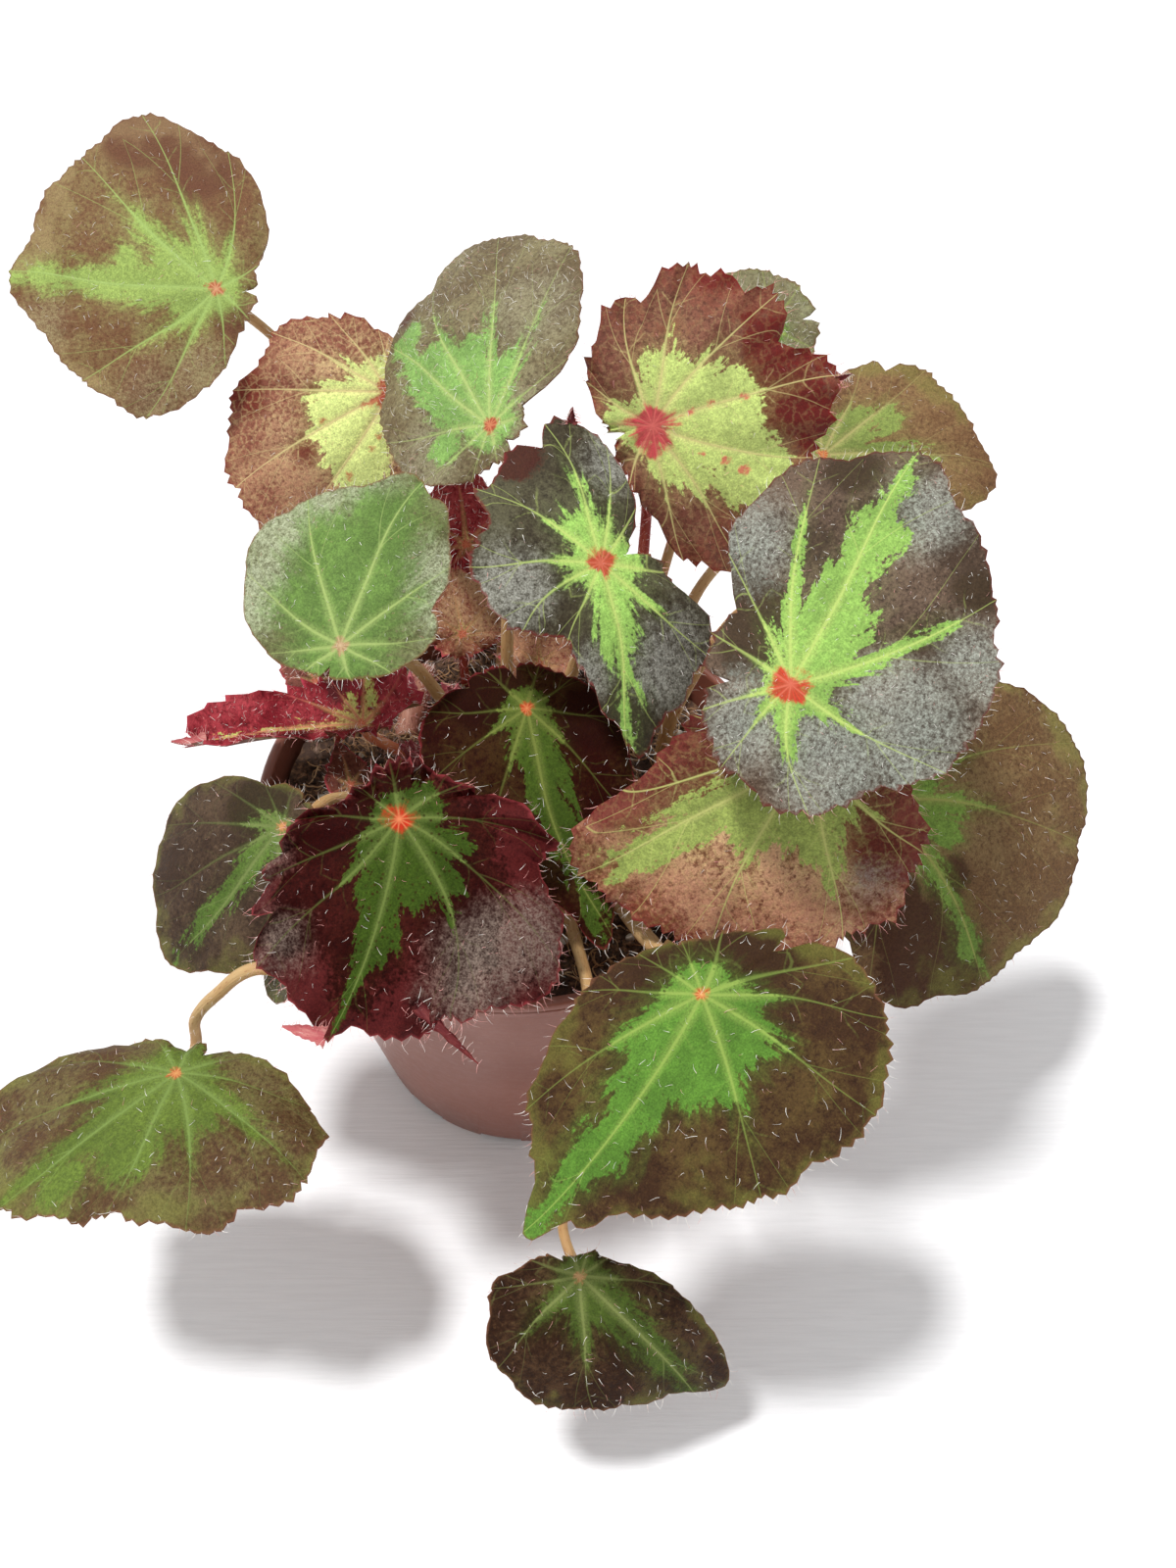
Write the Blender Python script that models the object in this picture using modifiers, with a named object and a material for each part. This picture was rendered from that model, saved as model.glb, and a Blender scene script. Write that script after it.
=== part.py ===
"""Potted begonia: a rhizomatous begonia with patterned leaves in a small round plastic pot.

The pot stands on Z = 0 with its axis on the Z axis, and the plant's front faces -Y. The pot and the soil
follow from a few driving sizes. Each leaf is a row of LEAVES: where its stalk ends, how the blade is turned,
and how far the blade reaches from the stalk's end. Sizes in the tables are millimetres and degrees.
"""

import math
import random
from dataclasses import dataclass

import bmesh
import bpy
from mathutils import Matrix, Vector, noise

MM = 0.001

# Pot
RIM_RADIUS = 60.0
POT_HEIGHT = 93.0
BASE_RADIUS = 41.5
POT_WALL = 1.2
LIP_WIDTH = 2.6
LIP_DEPTH = 4.0
FLOOR_RAISE = 3.0
FOOT_HEIGHT = 2.2
FOOT_COUNT = 12
PAD_RADIUS = 7.0
DRAIN_COUNT = 6
DRAIN_RADIUS = 4.0
DRAIN_RING = 26.0
POT_STEPS = 36

# Soil
SOIL_LEVEL = 85.0
SOIL_BUMP = 1.6
SOIL_RINGS = 5
SOIL_STEPS = 32
GAP = 0.3
HOLE_DEPTH = 7.0
HOLE_SIDES = 8

# Leaves
BLADE_THICKNESS = 0.8
MARGIN_POINTS = 44
YOUNG_MARGIN_POINTS = 28
INNER_RING = 0.55
TOOTH = 0.022
LOBES = 11
LOBE_DEPTH = 0.035
TIP_SPREAD = 9.0
SINUS_DEPTH = 0.45
STALK_SIDES = 6
STALK_STEPS = 3
STALK_END_GAP = 0.35

SEED = 7

COLOURS = {
    "pot": ((0.42, 0.19, 0.135), 0.38),
    "soil": ((0.035, 0.024, 0.018), 0.95),
    "dark": ((0.075, 0.030, 0.024), 0.55),
    "olive": ((0.150, 0.115, 0.045), 0.55),
    "slate": ((0.110, 0.120, 0.095), 0.45),
    "green": ((0.170, 0.270, 0.080), 0.50),
    "russet": ((0.260, 0.085, 0.045), 0.55),
    "red": ((0.300, 0.035, 0.040), 0.60),
    "tan_stalk": ((0.480, 0.300, 0.120), 0.60),
    "red_stalk": ((0.330, 0.045, 0.030), 0.60),
    "rhizome": ((0.210, 0.110, 0.060), 0.80),
}


@dataclass
class Leaf:
    """One leaf: blade and stalk.

    top      end of the stalk, where the veins meet
    heading  compass direction of the blade's tip, counted from +X towards +Y
    pitch    how far the tip dips
    roll     how far the blade's left side lifts, seen from the stalk towards the tip
    reach    distance from the stalk's end to the margin every 30 degrees, from the tip round by the left
    foot     where the stalk leaves the soil
    via      points that the stalk passes on its way
    droop    how far the margin hangs below the stalk's end, as a share of the mean reach
    fold     rise of the two halves on both sides of the midrib, as a slope
    curl     directions in the blade towards which it bends down, each with a share of the mean reach
    wave     height of the ruffles along the margin
    ruffles  number of ruffles round the margin
    point    length of the pointed tip beyond the round outline
    sinus    direction of the slit between the base lobes
    """

    name: str
    top: tuple
    heading: float
    pitch: float
    roll: float
    reach: tuple
    foot: tuple
    via: tuple = ()
    droop: float = 0.12
    fold: float = 0.0
    curl: tuple = ()
    wave: float = 0.6
    ruffles: int = 7
    point: float = 2.5
    sinus: float = 180.0
    stalk: float = 1.4
    tint: str = "dark"
    stalk_tint: str = "tan_stalk"
    young: bool = False


LEAVES = (
    Leaf("leaf_far_left", (-74, 102, 158), 180, -4, -42,
         (51, 40, 35, 22, 12, 10, 10, 11, 22, 35, 46, 49),
         (-33, 40), ((-38, 57, 101), (-46, 86, 116), (-59, 104, 138)), 0.10, tint="olive"),
    Leaf("leaf_rear_left", (-33, 89, 138), -156, 23, -50,
         (45, 37, 24, 16, 12, 11, 10, 11, 14, 21, 31, 39),
         (-6, 40), ((-6, 57, 101), (-16, 76, 110), (-24, 89, 118)), 0.08, wave=0.9, tint="russet"),
    Leaf("leaf_upper_left", (-5, 46, 158), 128, -2, -38,
         (50, 33, 24, 16, 11, 9, 8, 8, 10, 27, 48, 60),
         (-4, 26), ((-3, 34, 122),), 0.12, tint="slate"),
    Leaf("leaf_sage", (-33, -10, 146), 60, -30, 13,
         (37, 35, 32, 23, 15, 9, 7, 7, 8, 12, 18, 25),
         (-14, 14), ((-22, 9, 122),), 0.12, wave=0.3, tint="green"),
    Leaf("leaf_centre", (18, 3, 156), -80, 34, -11,
         (32, 32, 27, 12, 8, 19, 32, 29, 24, 25, 22, 17),
         (8, 18), ((15, 20, 122),), 0.14, wave=0.9, sinus=105, tint="slate"),
    Leaf("leaf_upper_right", (30, 51, 155), 8, -13, 57,
         (40, 38, 34, 28, 20, 13, 9, 11, 15, 31, 33, 36),
         (24, 26), ((29, 53, 116),), 0.08, wave=1.2, ruffles=9, tint="russet", stalk_tint="red_stalk"),
    Leaf("leaf_rear_right", (75, 85, 122), -9, 1, 42,
         (42, 37, 30, 20, 13, 9, 8, 8, 10, 15, 22, 31),
         (34, 30), ((43, 54, 104), (67, 83, 108)), 0.12, wave=0.4, tint="olive"),
    Leaf("leaf_big_right", (53, -31, 156), 58, -29, 6,
         (51, 43, 21, 17, 16, 18, 20, 24, 24, 32, 37, 43),
         (33, 14), ((48, 16, 130), (55, -12, 148)), 0.12, wave=0.7, sinus=110, point=5.0, tint="slate"),
    Leaf("leaf_right", (82, -9, 98), -52, 39, 18,
         (48, 53, 52, 45, 32, 20, 13, 12, 13, 15, 22, 44),
         (34, 0), ((60, 0, 98), (74, -4, 92)), 0.14, tint="dark"),
    Leaf("leaf_ruffled_right", (58, -29, 136), -162, 17, -39,
         (50, 44, 40, 37, 30, 19, 14, 12, 11, 12, 16, 25),
         (30, -10), ((52, -6, 116),), 0.09, wave=1.5, ruffles=10, tint="russet"),
    Leaf("leaf_front_right", (37, -72, 116), -134, 25, -8,
         (48, 39, 37, 37, 34, 25, 16, 11, 11, 14, 21, 33),
         (18, -24), ((27, -46, 99),), 0.14, wave=0.4, sinus=160, point=8.0, stalk=1.7, tint="olive"),
    Leaf("leaf_front_low", (14, -101, 58), -31, 30, 28,
         (41, 21, 12, 8, 7, 7, 8, 12, 19, 25, 29, 31),
         (9, -24), ((13, -42, 91.5), (16, -60, 96.5), (16.5, -80, 91), (15, -92, 76),
                   (12.5, -88.5, 66), (10.5, -91, 58.5)), 0.16, curl=((110, 0.6),), point=4.0,
         stalk=1.2, tint="dark"),
    Leaf("leaf_left_low", (-70, -66, 76), -131, -8, 9,
         (38, 33, 35, 37, 28, 16, 10, 8, 9, 17, 33, 41),
         (-14, -24), ((-23, -39, 92), (-31, -51, 96.5), (-42, -54.5, 97.5), (-52, -54, 98),
                      (-61, -54, 89), (-68, -53.5, 78), (-69.5, -55.5, 69)), 0.16, wave=1.2, tint="olive"),
    Leaf("leaf_left_grey", (-48, -26, 109), -138, 31, -5,
         (37, 30, 20, 13, 9, 8, 8, 9, 12, 20, 33, 37),
         (-27, -2), ((-40, -12, 102),), 0.12, wave=0.3, tint="slate"),
    Leaf("leaf_front_left", (-21, -38, 126), -111, 29, -9,
         (42, 41, 43, 28, 19, 12, 12, 12, 10, 14, 26, 39),
         (-8, -14), ((-16, -24, 108),), 0.12, wave=1.6, ruffles=10, tint="dark"),
    Leaf("leaf_heart", (3, -10, 128), -69, 26, 1,
         (47, 30, 21, 15, 11, 10, 10, 12, 17, 23, 28, 35),
         (1, 4), ((1, 2, 108),), 0.06, wave=0.5, point=5.0, tint="dark"),
    Leaf("leaf_folded_red", (-35, 6, 106), 178, 8, 0,
         (38, 16, 10, 8, 7, 7, 8, 10, 12, 12, 12, 17),
         (-24, 13), ((-30, 9, 96),), 0.0, fold=0.8, wave=1.0, ruffles=9, tint="red",
         stalk_tint="red_stalk", young=True),
    Leaf("leaf_far_behind", (60, 98, 150), 190, 10, -42,
         (26, 22, 18, 15, 13, 12, 12, 12, 13, 15, 18, 22),
         (30, 40), ((34, 52, 112), (50, 96, 128)), 0.12, stalk=1.2, tint="olive", young=True),
    Leaf("leaf_grey_tip", (-41, -39, 100), -133, 40, 0,
         (22, 15, 11, 9, 7, 6, 6, 6, 7, 9, 11, 15),
         (-22, -20), ((-33, -31, 99),), 0.10, stalk=1.0, tint="slate", young=True),
    Leaf("leaf_young_tall", (-14, 58, 116), 100, -62, 0,
         (20, 14, 11, 10, 9, 9, 9, 9, 9, 10, 11, 14),
         (-14, 50), ((-14, 60, 105),), 0.10, fold=0.3, wave=0.9, ruffles=6, stalk=1.1, tint="red",
         stalk_tint="red_stalk", young=True),
    Leaf("leaf_young_mid", (-15, 42, 101), 105, -52, 0,
         (14, 12, 10, 8, 7, 6, 6, 6, 8, 10, 13, 15),
         (-15, 40), (), 0.10, fold=0.3, wave=0.9, ruffles=6, stalk=1.1, tint="red",
         stalk_tint="red_stalk", young=True),
    Leaf("leaf_young_heart", (4, 33, 99), 95, -48, 0,
         (12, 11, 10, 9, 7, 5, 4, 5, 7, 9, 10, 11),
         (4, 32), (), 0.10, fold=0.2, wave=1.0, ruffles=6, stalk=1.1, tint="red",
         stalk_tint="red_stalk", young=True),
    Leaf("leaf_young_left", (-38, -3, 96), 110, -30, 0,
         (9, 7, 6, 5, 4, 3, 3, 3, 4, 5, 6, 7),
         (-38, -3), (), 0.10, wave=0.4, ruffles=5, stalk=1.0, tint="russet",
         stalk_tint="red_stalk", young=True),
    Leaf("leaf_young_rear", (-48, 22, 104), 130, -35, 0,
         (12, 9, 7, 6, 5, 4, 4, 4, 5, 6, 7, 9),
         (-44, 18), (), 0.10, wave=0.5, ruffles=5, stalk=1.0, tint="russet",
         stalk_tint="red_stalk", young=True),
)

# Creeping stem: points along its axis and its radius there
RHIZOME_PATH = ((-29, 20, 80, 2.4), (-28, 21, 87, 2.8), (-27, 27, 90, 3.2), (-26, 34, 90, 3.4),
                (-25, 41, 88, 3.0), (-24, 45, 80, 2.4))
BUDS = ((-28, 21, 90, 250, 12), (-25, 40, 90, 60, 13), (-27, 31, 92, 150, 9))


def clear_scene():
    """Remove everything that the file opens with."""
    for item in list(bpy.data.objects):
        bpy.data.objects.remove(item, do_unlink=True)


def make_material(name):
    """Principled material from the colour table."""
    colour, rough = COLOURS[name]
    material = bpy.data.materials.get(name) or bpy.data.materials.new(name)
    material.use_nodes = True
    shader = material.node_tree.nodes["Principled BSDF"]
    shader.inputs["Base Color"].default_value = (*colour, 1.0)
    shader.inputs["Roughness"].default_value = rough
    shader.inputs["Metallic"].default_value = 0.0
    material.diffuse_color = (*colour, 1.0)
    return material


def add_object(name, data, collection, material=None):
    """Link a new object that holds the mesh or curve."""
    item = bpy.data.objects.new(name, data)
    collection.objects.link(item)
    if material:
        data.materials.append(make_material(material))
    return item


def mesh_from(bm, name):
    """Turn a bmesh of closed shapes into a mesh of triangles."""
    bmesh.ops.triangulate(bm, faces=bm.faces)
    mesh = bpy.data.meshes.new(name)
    bm.to_mesh(mesh)
    bm.free()
    return mesh


def hide_helper(item):
    """Mark a cutter so that it is not part of the model."""
    item.hide_render = True
    item.display_type = "WIRE"


def cut(target, cutter):
    """Subtract the cutter from the target with a live Boolean."""
    hide_helper(cutter)
    modifier = target.modifiers.new("cut_" + cutter.name, "BOOLEAN")
    modifier.operation = "DIFFERENCE"
    modifier.object = cutter


def apply_modifiers(item):
    """Replace the object's mesh with the result of its modifiers."""
    graph = bpy.context.evaluated_depsgraph_get()
    item.data = bpy.data.meshes.new_from_object(item.evaluated_get(graph))
    item.modifiers.clear()


def turned(name, profile, steps, collection, material):
    """Solid of revolution from an outline of (radius, height) pairs in millimetres."""
    mesh = bpy.data.meshes.new(name)
    points = [(radius * MM, 0.0, height * MM) for radius, height in profile]
    mesh.from_pydata(points, [(i, i + 1) for i in range(len(points) - 1)], [])
    item = add_object(name, mesh, collection, material)
    screw = item.modifiers.new("turn", "SCREW")
    screw.steps = steps
    screw.render_steps = steps
    screw.use_merge_vertices = True
    screw.merge_threshold = 0.00005
    screw.use_smooth_shade = True
    return item


def pot_inside(height):
    """Inner radius of the pot's wall at a height."""
    share = (height - FLOOR_RAISE) / (POT_HEIGHT - FLOOR_RAISE)
    return (BASE_RADIUS + (RIM_RADIUS - LIP_WIDTH - BASE_RADIUS) * share) - POT_WALL * (1.0 - share)


def pot_outside(height):
    """Outer radius of the pot's wall at a height."""
    return BASE_RADIUS + (RIM_RADIUS - LIP_WIDTH + POT_WALL - BASE_RADIUS) * height / POT_HEIGHT


def lip_arc():
    """Rounded top of the rolled lip, from its inner to its outer side."""
    middle = RIM_RADIUS - LIP_WIDTH / 2.0
    radius = LIP_WIDTH / 2.0
    points = []
    for step in range(6):
        angle = math.pi * (1.0 - step / 5.0)
        points.append((middle + radius * math.cos(angle), POT_HEIGHT - radius + radius * math.sin(angle)))
    return points


def build_pot(collection, cutters):
    """Pot with a rolled lip, a foot ring cut into feet, a middle pad and drain holes."""
    floor_top = FLOOR_RAISE + POT_WALL
    profile = [(0.0, floor_top), (pot_inside(floor_top) - 1.5, floor_top),
               (pot_inside(floor_top + 1.5), floor_top + 1.5),
               (RIM_RADIUS - LIP_WIDTH, POT_HEIGHT - LIP_DEPTH)]
    profile += lip_arc()
    lip_bottom = POT_HEIGHT - LIP_DEPTH
    profile += [(RIM_RADIUS, lip_bottom), (pot_outside(lip_bottom), lip_bottom - 0.6),
                (pot_outside(1.0), 1.0), (BASE_RADIUS - 0.6, 0.0),
                (BASE_RADIUS - 3.0, 0.0), (BASE_RADIUS - 4.2, FLOOR_RAISE),
                (PAD_RADIUS + 1.0, FLOOR_RAISE), (PAD_RADIUS, 0.0), (0.0, 0.0)]
    pot = turned("pot", profile, POT_STEPS, collection, "pot")

    bm = bmesh.new()
    for index in range(FOOT_COUNT):
        angle = math.radians(-129.5 + index * 360.0 / FOOT_COUNT)
        turn = Matrix.Rotation(angle, 4, "Z")
        width = BASE_RADIUS * math.radians(180.0 / FOOT_COUNT)
        move = Matrix.Translation((BASE_RADIUS * MM, 0.0, 0.0))
        size = Matrix.Diagonal((10.0 * MM, width * MM, 2.0 * FOOT_HEIGHT * MM, 1.0))
        bmesh.ops.create_cube(bm, size=1.0, matrix=turn @ move @ size)
    cut(pot, add_object("foot_gaps", mesh_from(bm, "foot_gaps"), cutters))

    bm = bmesh.new()
    for index in range(DRAIN_COUNT):
        angle = 2.0 * math.pi * (index + 0.5) / DRAIN_COUNT
        spot = Vector((math.cos(angle), math.sin(angle), 0.0)) * DRAIN_RING * MM
        place = Matrix.Translation(spot + Vector((0.0, 0.0, FLOOR_RAISE * MM)))
        bmesh.ops.create_cone(bm, cap_ends=True, segments=12, radius1=DRAIN_RADIUS * MM,
                              radius2=DRAIN_RADIUS * MM, depth=8.0 * MM, matrix=place)
    cut(pot, add_object("drains", mesh_from(bm, "drains"), cutters))


def soil_height(x, y):
    """Height of the soil's lumpy surface, a little higher at the left."""
    lumps = noise.noise(Vector((x * 0.09, y * 0.09, 3.1))) + 0.5 * noise.noise(Vector((x * 0.2, y * 0.2, 8.4)))
    edge = max(0.0, math.hypot(x, y) / RIM_RADIUS - 0.75)
    return SOIL_LEVEL + SOIL_BUMP * lumps - 0.02 * x - 5.0 * edge


def build_soil(collection, cutters):
    """Potting mix that fills the pot, with a plain hole for each stalk and each end of the rhizome."""
    bottom = FLOOR_RAISE + POT_WALL + GAP
    bm = bmesh.new()
    rings = []
    for ring in range(1, SOIL_RINGS + 1):
        radius = (pot_inside(SOIL_LEVEL - 2.0) - GAP - 0.2) * ring / SOIL_RINGS
        verts = []
        for step in range(SOIL_STEPS):
            angle = 2.0 * math.pi * step / SOIL_STEPS
            x, y = radius * math.cos(angle), radius * math.sin(angle)
            verts.append(bm.verts.new((x * MM, y * MM, soil_height(x, y) * MM)))
        rings.append(verts)
    lower = []
    for level in (bottom + 1.6, bottom):
        radius = pot_inside(bottom + 1.2) - GAP - (0.2 if level > bottom else 1.8)
        lower.append([bm.verts.new((radius * MM * math.cos(2.0 * math.pi * step / SOIL_STEPS),
                                    radius * MM * math.sin(2.0 * math.pi * step / SOIL_STEPS),
                                    level * MM)) for step in range(SOIL_STEPS)])
    rings += lower
    top = bm.verts.new((0.0, 0.0, soil_height(0.0, 0.0) * MM))
    base = bm.verts.new((0.0, 0.0, bottom * MM))
    for step in range(SOIL_STEPS):
        after = (step + 1) % SOIL_STEPS
        bm.faces.new((top, rings[0][step], rings[0][after]))
        bm.faces.new((base, rings[-1][after], rings[-1][step]))
        for inner, outer in zip(rings, rings[1:]):
            bm.faces.new((inner[step], outer[step], outer[after], inner[after]))
    soil = add_object("soil", mesh_from(bm, "soil"), collection, "soil")

    bm = bmesh.new()
    spots = [(leaf.foot[0], leaf.foot[1], leaf.stalk * 1.25 + GAP) for leaf in LEAVES]
    for x, y, radius in spots:
        low = soil_height(x, y) - HOLE_DEPTH
        high = SOIL_LEVEL + 12.0
        place = Matrix.Translation((x * MM, y * MM, (low + high) / 2.0 * MM))
        bmesh.ops.create_cone(bm, cap_ends=True, segments=HOLE_SIDES, radius1=radius * MM,
                              radius2=radius * MM, depth=(high - low) * MM, matrix=place)
    cut(soil, add_object("stalk_holes", mesh_from(bm, "stalk_holes"), cutters))

    bm = bmesh.new()
    tube_rings(bm, [(x, y, z - 2.0 * GAP, radius + 2.0 * GAP) for x, y, z, radius in RHIZOME_PATH], 10, 0.06)
    cut(soil, add_object("rhizome_bed", mesh_from(bm, "rhizome_bed"), cutters))


def path_point(points, directions, place):
    """Point on a smooth path through the points, at a place from 0 to the last index.

    The path leaves each point along its direction, and no stretch swings wider than it is long.
    """
    index = min(int(place), len(points) - 2)
    t = place - index
    start, end = points[index], points[index + 1]
    length = (end - start).length
    leave, arrive = directions[index] * length, directions[index + 1] * length
    return (start * (2.0 * t ** 3 - 3.0 * t * t + 1.0) + leave * (t ** 3 - 2.0 * t * t + t)
            + end * (3.0 * t * t - 2.0 * t ** 3) + arrive * (t ** 3 - t * t))


def leaf_turn(leaf):
    """Rotation from the blade's own frame: X to the tip, Y to the left, Z out of the upper face."""
    return (Matrix.Rotation(math.radians(leaf.heading), 3, "Z")
            @ Matrix.Rotation(math.radians(leaf.pitch), 3, "Y")
            @ Matrix.Rotation(math.radians(leaf.roll), 3, "X"))


def reach_at(leaf, degrees):
    """Distance from the stalk's end to the margin in a direction, smooth between the listed ones."""
    count = len(leaf.reach)
    place = (degrees % 360.0) / 360.0 * count
    index = int(place)
    t = place - index
    before, start, end, after = (leaf.reach[(index + shift) % count] for shift in (-1, 0, 1, 2))
    value = 0.5 * (2.0 * start + (end - before) * t + (2.0 * before - 5.0 * start + 4.0 * end - after) * t * t
                   + (3.0 * start - before - 3.0 * end + after) * t ** 3)
    from_tip = (degrees + 180.0) % 360.0 - 180.0
    lobe = 1.0 + LOBE_DEPTH * (abs(math.cos(math.radians(degrees * LOBES / 2.0))) - 0.6)
    return max(value * lobe, 2.5) + leaf.point * math.exp(-(from_tip / TIP_SPREAD) ** 2)


def blade_height(leaf, x, y, phase):
    """Height of the blade's middle surface over the plane at the stalk's end."""
    mean = sum(leaf.reach) / len(leaf.reach)
    distance = math.hypot(x, y)
    degrees = math.degrees(math.atan2(y, x))
    height = -leaf.droop * distance ** 2 / mean + leaf.fold * (math.hypot(y, 1.5) - 1.5)
    for direction, amount in leaf.curl:
        along = x * math.cos(math.radians(direction)) + y * math.sin(math.radians(direction))
        height -= amount * max(0.0, along) ** 2 / mean
    share = distance / reach_at(leaf, degrees)
    ruffle = math.sin(math.radians(degrees) * leaf.ruffles + phase)
    return height + leaf.wave * ruffle * share ** 3


def blade_points(leaf, count, share, phase):
    """Points of one ring of the blade, in its own frame."""
    points = []
    for step in range(count):
        degrees = leaf.sinus + 360.0 * step / count
        radius = reach_at(leaf, degrees)
        if share == 1.0:
            radius *= 1.0 + (TOOTH if step % 2 else -TOOTH)
            if step == 0:
                radius *= 1.0 - SINUS_DEPTH
        x = share * radius * math.cos(math.radians(degrees))
        y = share * radius * math.sin(math.radians(degrees))
        points.append((x, y, blade_height(leaf, x, y, phase)))
    return points


def build_blade(leaf, phase, collection):
    """Blade: a centre, an inner ring and a toothed margin, split alike on both faces."""
    count = YOUNG_MARGIN_POINTS if leaf.young else MARGIN_POINTS
    half = count // 2
    turn = leaf_turn(leaf)
    top = Vector(leaf.top)
    rings = ([(0.0, 0.0, 0.0)], blade_points(leaf, half, INNER_RING, phase),
             blade_points(leaf, count, 1.0, phase))
    bm = bmesh.new()
    sheets = []
    for lift in (GAP, GAP + BLADE_THICKNESS):
        sheets.append([[bm.verts.new((top + turn @ Vector((x, y, z + lift))) * MM) for x, y, z in ring]
                       for ring in rings])
    for sheet, upper in zip(sheets, (False, True)):
        (centre,), inner, outer = sheet
        triangles = []
        for step in range(half):
            after = (step + 1) % half
            first, middle, last = outer[2 * step], outer[2 * step + 1], outer[(2 * step + 2) % count]
            triangles += [(centre, inner[step], inner[after]), (inner[step], first, middle),
                          (inner[step], middle, inner[after]), (inner[after], middle, last)]
        for triangle in triangles:
            bm.faces.new(triangle if upper else triangle[::-1])
    low, high = sheets[0][2], sheets[1][2]
    for step in range(count):
        after = (step + 1) % count
        bm.faces.new((low[step], low[after], high[after]))
        bm.faces.new((low[step], high[after], high[step]))
    add_object(leaf.name, mesh_from(bm, leaf.name), collection, leaf.tint)


def stalk_route(leaf):
    """Points of the stalk from the bottom of its hole to the blade, and its direction at each."""
    x, y = leaf.foot
    ground = soil_height(x, y)
    upright = Vector((0.0, 0.0, 1.0))
    normal = leaf_turn(leaf) @ upright
    points = [Vector((x, y, ground - HOLE_DEPTH + GAP)), Vector((x, y, ground + 1.0))]
    points += [Vector(point) for point in leaf.via]
    points.append(Vector(leaf.top) - normal * STALK_END_GAP)
    directions = [upright, upright]
    for before, after in zip(points[1:], points[3:]):
        directions.append((after - before).normalized())
    directions.append(normal)
    return points, directions


def build_stalk(leaf, collection):
    """Stalk from its hole in the soil to the underside of the blade."""
    points, directions = stalk_route(leaf)
    steps = STALK_STEPS * (len(points) - 1)
    curve = bpy.data.curves.new(leaf.name.replace("leaf", "stalk"), "CURVE")
    curve.dimensions = "3D"
    curve.bevel_depth = leaf.stalk * MM
    curve.bevel_resolution = STALK_SIDES // 2 - 2
    curve.use_fill_caps = True
    spline = curve.splines.new("POLY")
    spline.points.add(steps)
    for step in range(steps + 1):
        share = step / steps
        spot = path_point(points, directions, share * (len(points) - 1)) * MM
        spline.points[step].co = (*spot, 1.0)
        spline.points[step].radius = 1.2 - 0.35 * share
    add_object(curve.name, curve, collection, leaf.stalk_tint)


def tube_rings(bm, path, sides, lumps):
    """Lumpy closed tube along points that carry their radius."""
    rings = []
    points = [Vector(point[:3]) for point in path]
    for index, (point, item) in enumerate(zip(points, path)):
        ahead = points[min(index + 1, len(points) - 1)] - points[max(index - 1, 0)]
        side = ahead.cross(Vector((0.3, 0.9, 0.1))).normalized()
        other = ahead.cross(side).normalized()
        ring = []
        for step in range(sides):
            angle = 2.0 * math.pi * step / sides
            radius = item[3] * (1.0 + lumps * math.sin(3.0 * angle + 2.0 * index))
            spot = point + side * radius * math.cos(angle) + other * radius * math.sin(angle)
            ring.append(bm.verts.new(spot * MM))
        rings.append(ring)
    for low, high in zip(rings, rings[1:]):
        for step in range(sides):
            after = (step + 1) % sides
            bm.faces.new((low[step], low[after], high[after], high[step]))
    bm.faces.new(rings[0][::-1])
    bm.faces.new(rings[-1])


def build_rhizome(collection):
    """Creeping stem that arches over the soil, with scaly buds fused onto it."""
    bm = bmesh.new()
    tube_rings(bm, RHIZOME_PATH, 10, 0.06)
    stem = add_object("rhizome", mesh_from(bm, "rhizome"), collection, "rhizome")
    buds = bpy.data.collections.new("buds")
    bpy.context.scene.collection.children.link(buds)
    for index, (x, y, z, heading, length) in enumerate(BUDS):
        lean = Vector((math.cos(math.radians(heading)) * 0.35, math.sin(math.radians(heading)) * 0.35, 1.0))
        lean.normalize()
        base = Vector((x, y, z))
        path = [(*(base + lean * length * share), radius)
                for share, radius in ((-0.1, 1.6), (0.25, 2.6), (0.6, 2.0), (0.85, 1.0), (1.0, 0.3))]
        bm = bmesh.new()
        tube_rings(bm, path, 8, 0.10)
        add_object(f"bud_{index}", mesh_from(bm, "bud"), buds)
    join = stem.modifiers.new("join_buds", "BOOLEAN")
    join.operation = "UNION"
    join.operand_type = "COLLECTION"
    join.collection = buds
    apply_modifiers(stem)
    for bud in list(buds.objects):
        bpy.data.objects.remove(bud, do_unlink=True)
    bpy.data.collections.remove(buds)


def main():
    """Build the pot, the soil, the rhizome and every leaf."""
    clear_scene()
    random.seed(SEED)
    collection = bpy.data.collections.new("potted_begonia")
    cutters = bpy.data.collections.new("cutters")
    bpy.context.scene.collection.children.link(collection)
    bpy.context.scene.collection.children.link(cutters)
    build_pot(collection, cutters)
    build_soil(collection, cutters)
    build_rhizome(collection)
    for leaf in LEAVES:
        build_blade(leaf, random.uniform(0.0, 2.0 * math.pi), collection)
        build_stalk(leaf, collection)


main()
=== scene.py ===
"""Looks of the potted begonia: blades with veins and hairs, stalks, pot, potting mix and a pale studio.

Each class holds the sizes of one sub-assembly in millimetres and degrees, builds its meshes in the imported
model's frame and dresses them. The leaf rows repeat the form of the model's leaves and add what is only
looks: the veins, the green splash, the small notches and the finish of each blade.
"""

import logging
import math
import random
from dataclasses import dataclass, field, replace
from enum import Enum

import bpy
import numpy as np
from mathutils import Matrix, Vector, noise

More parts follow.
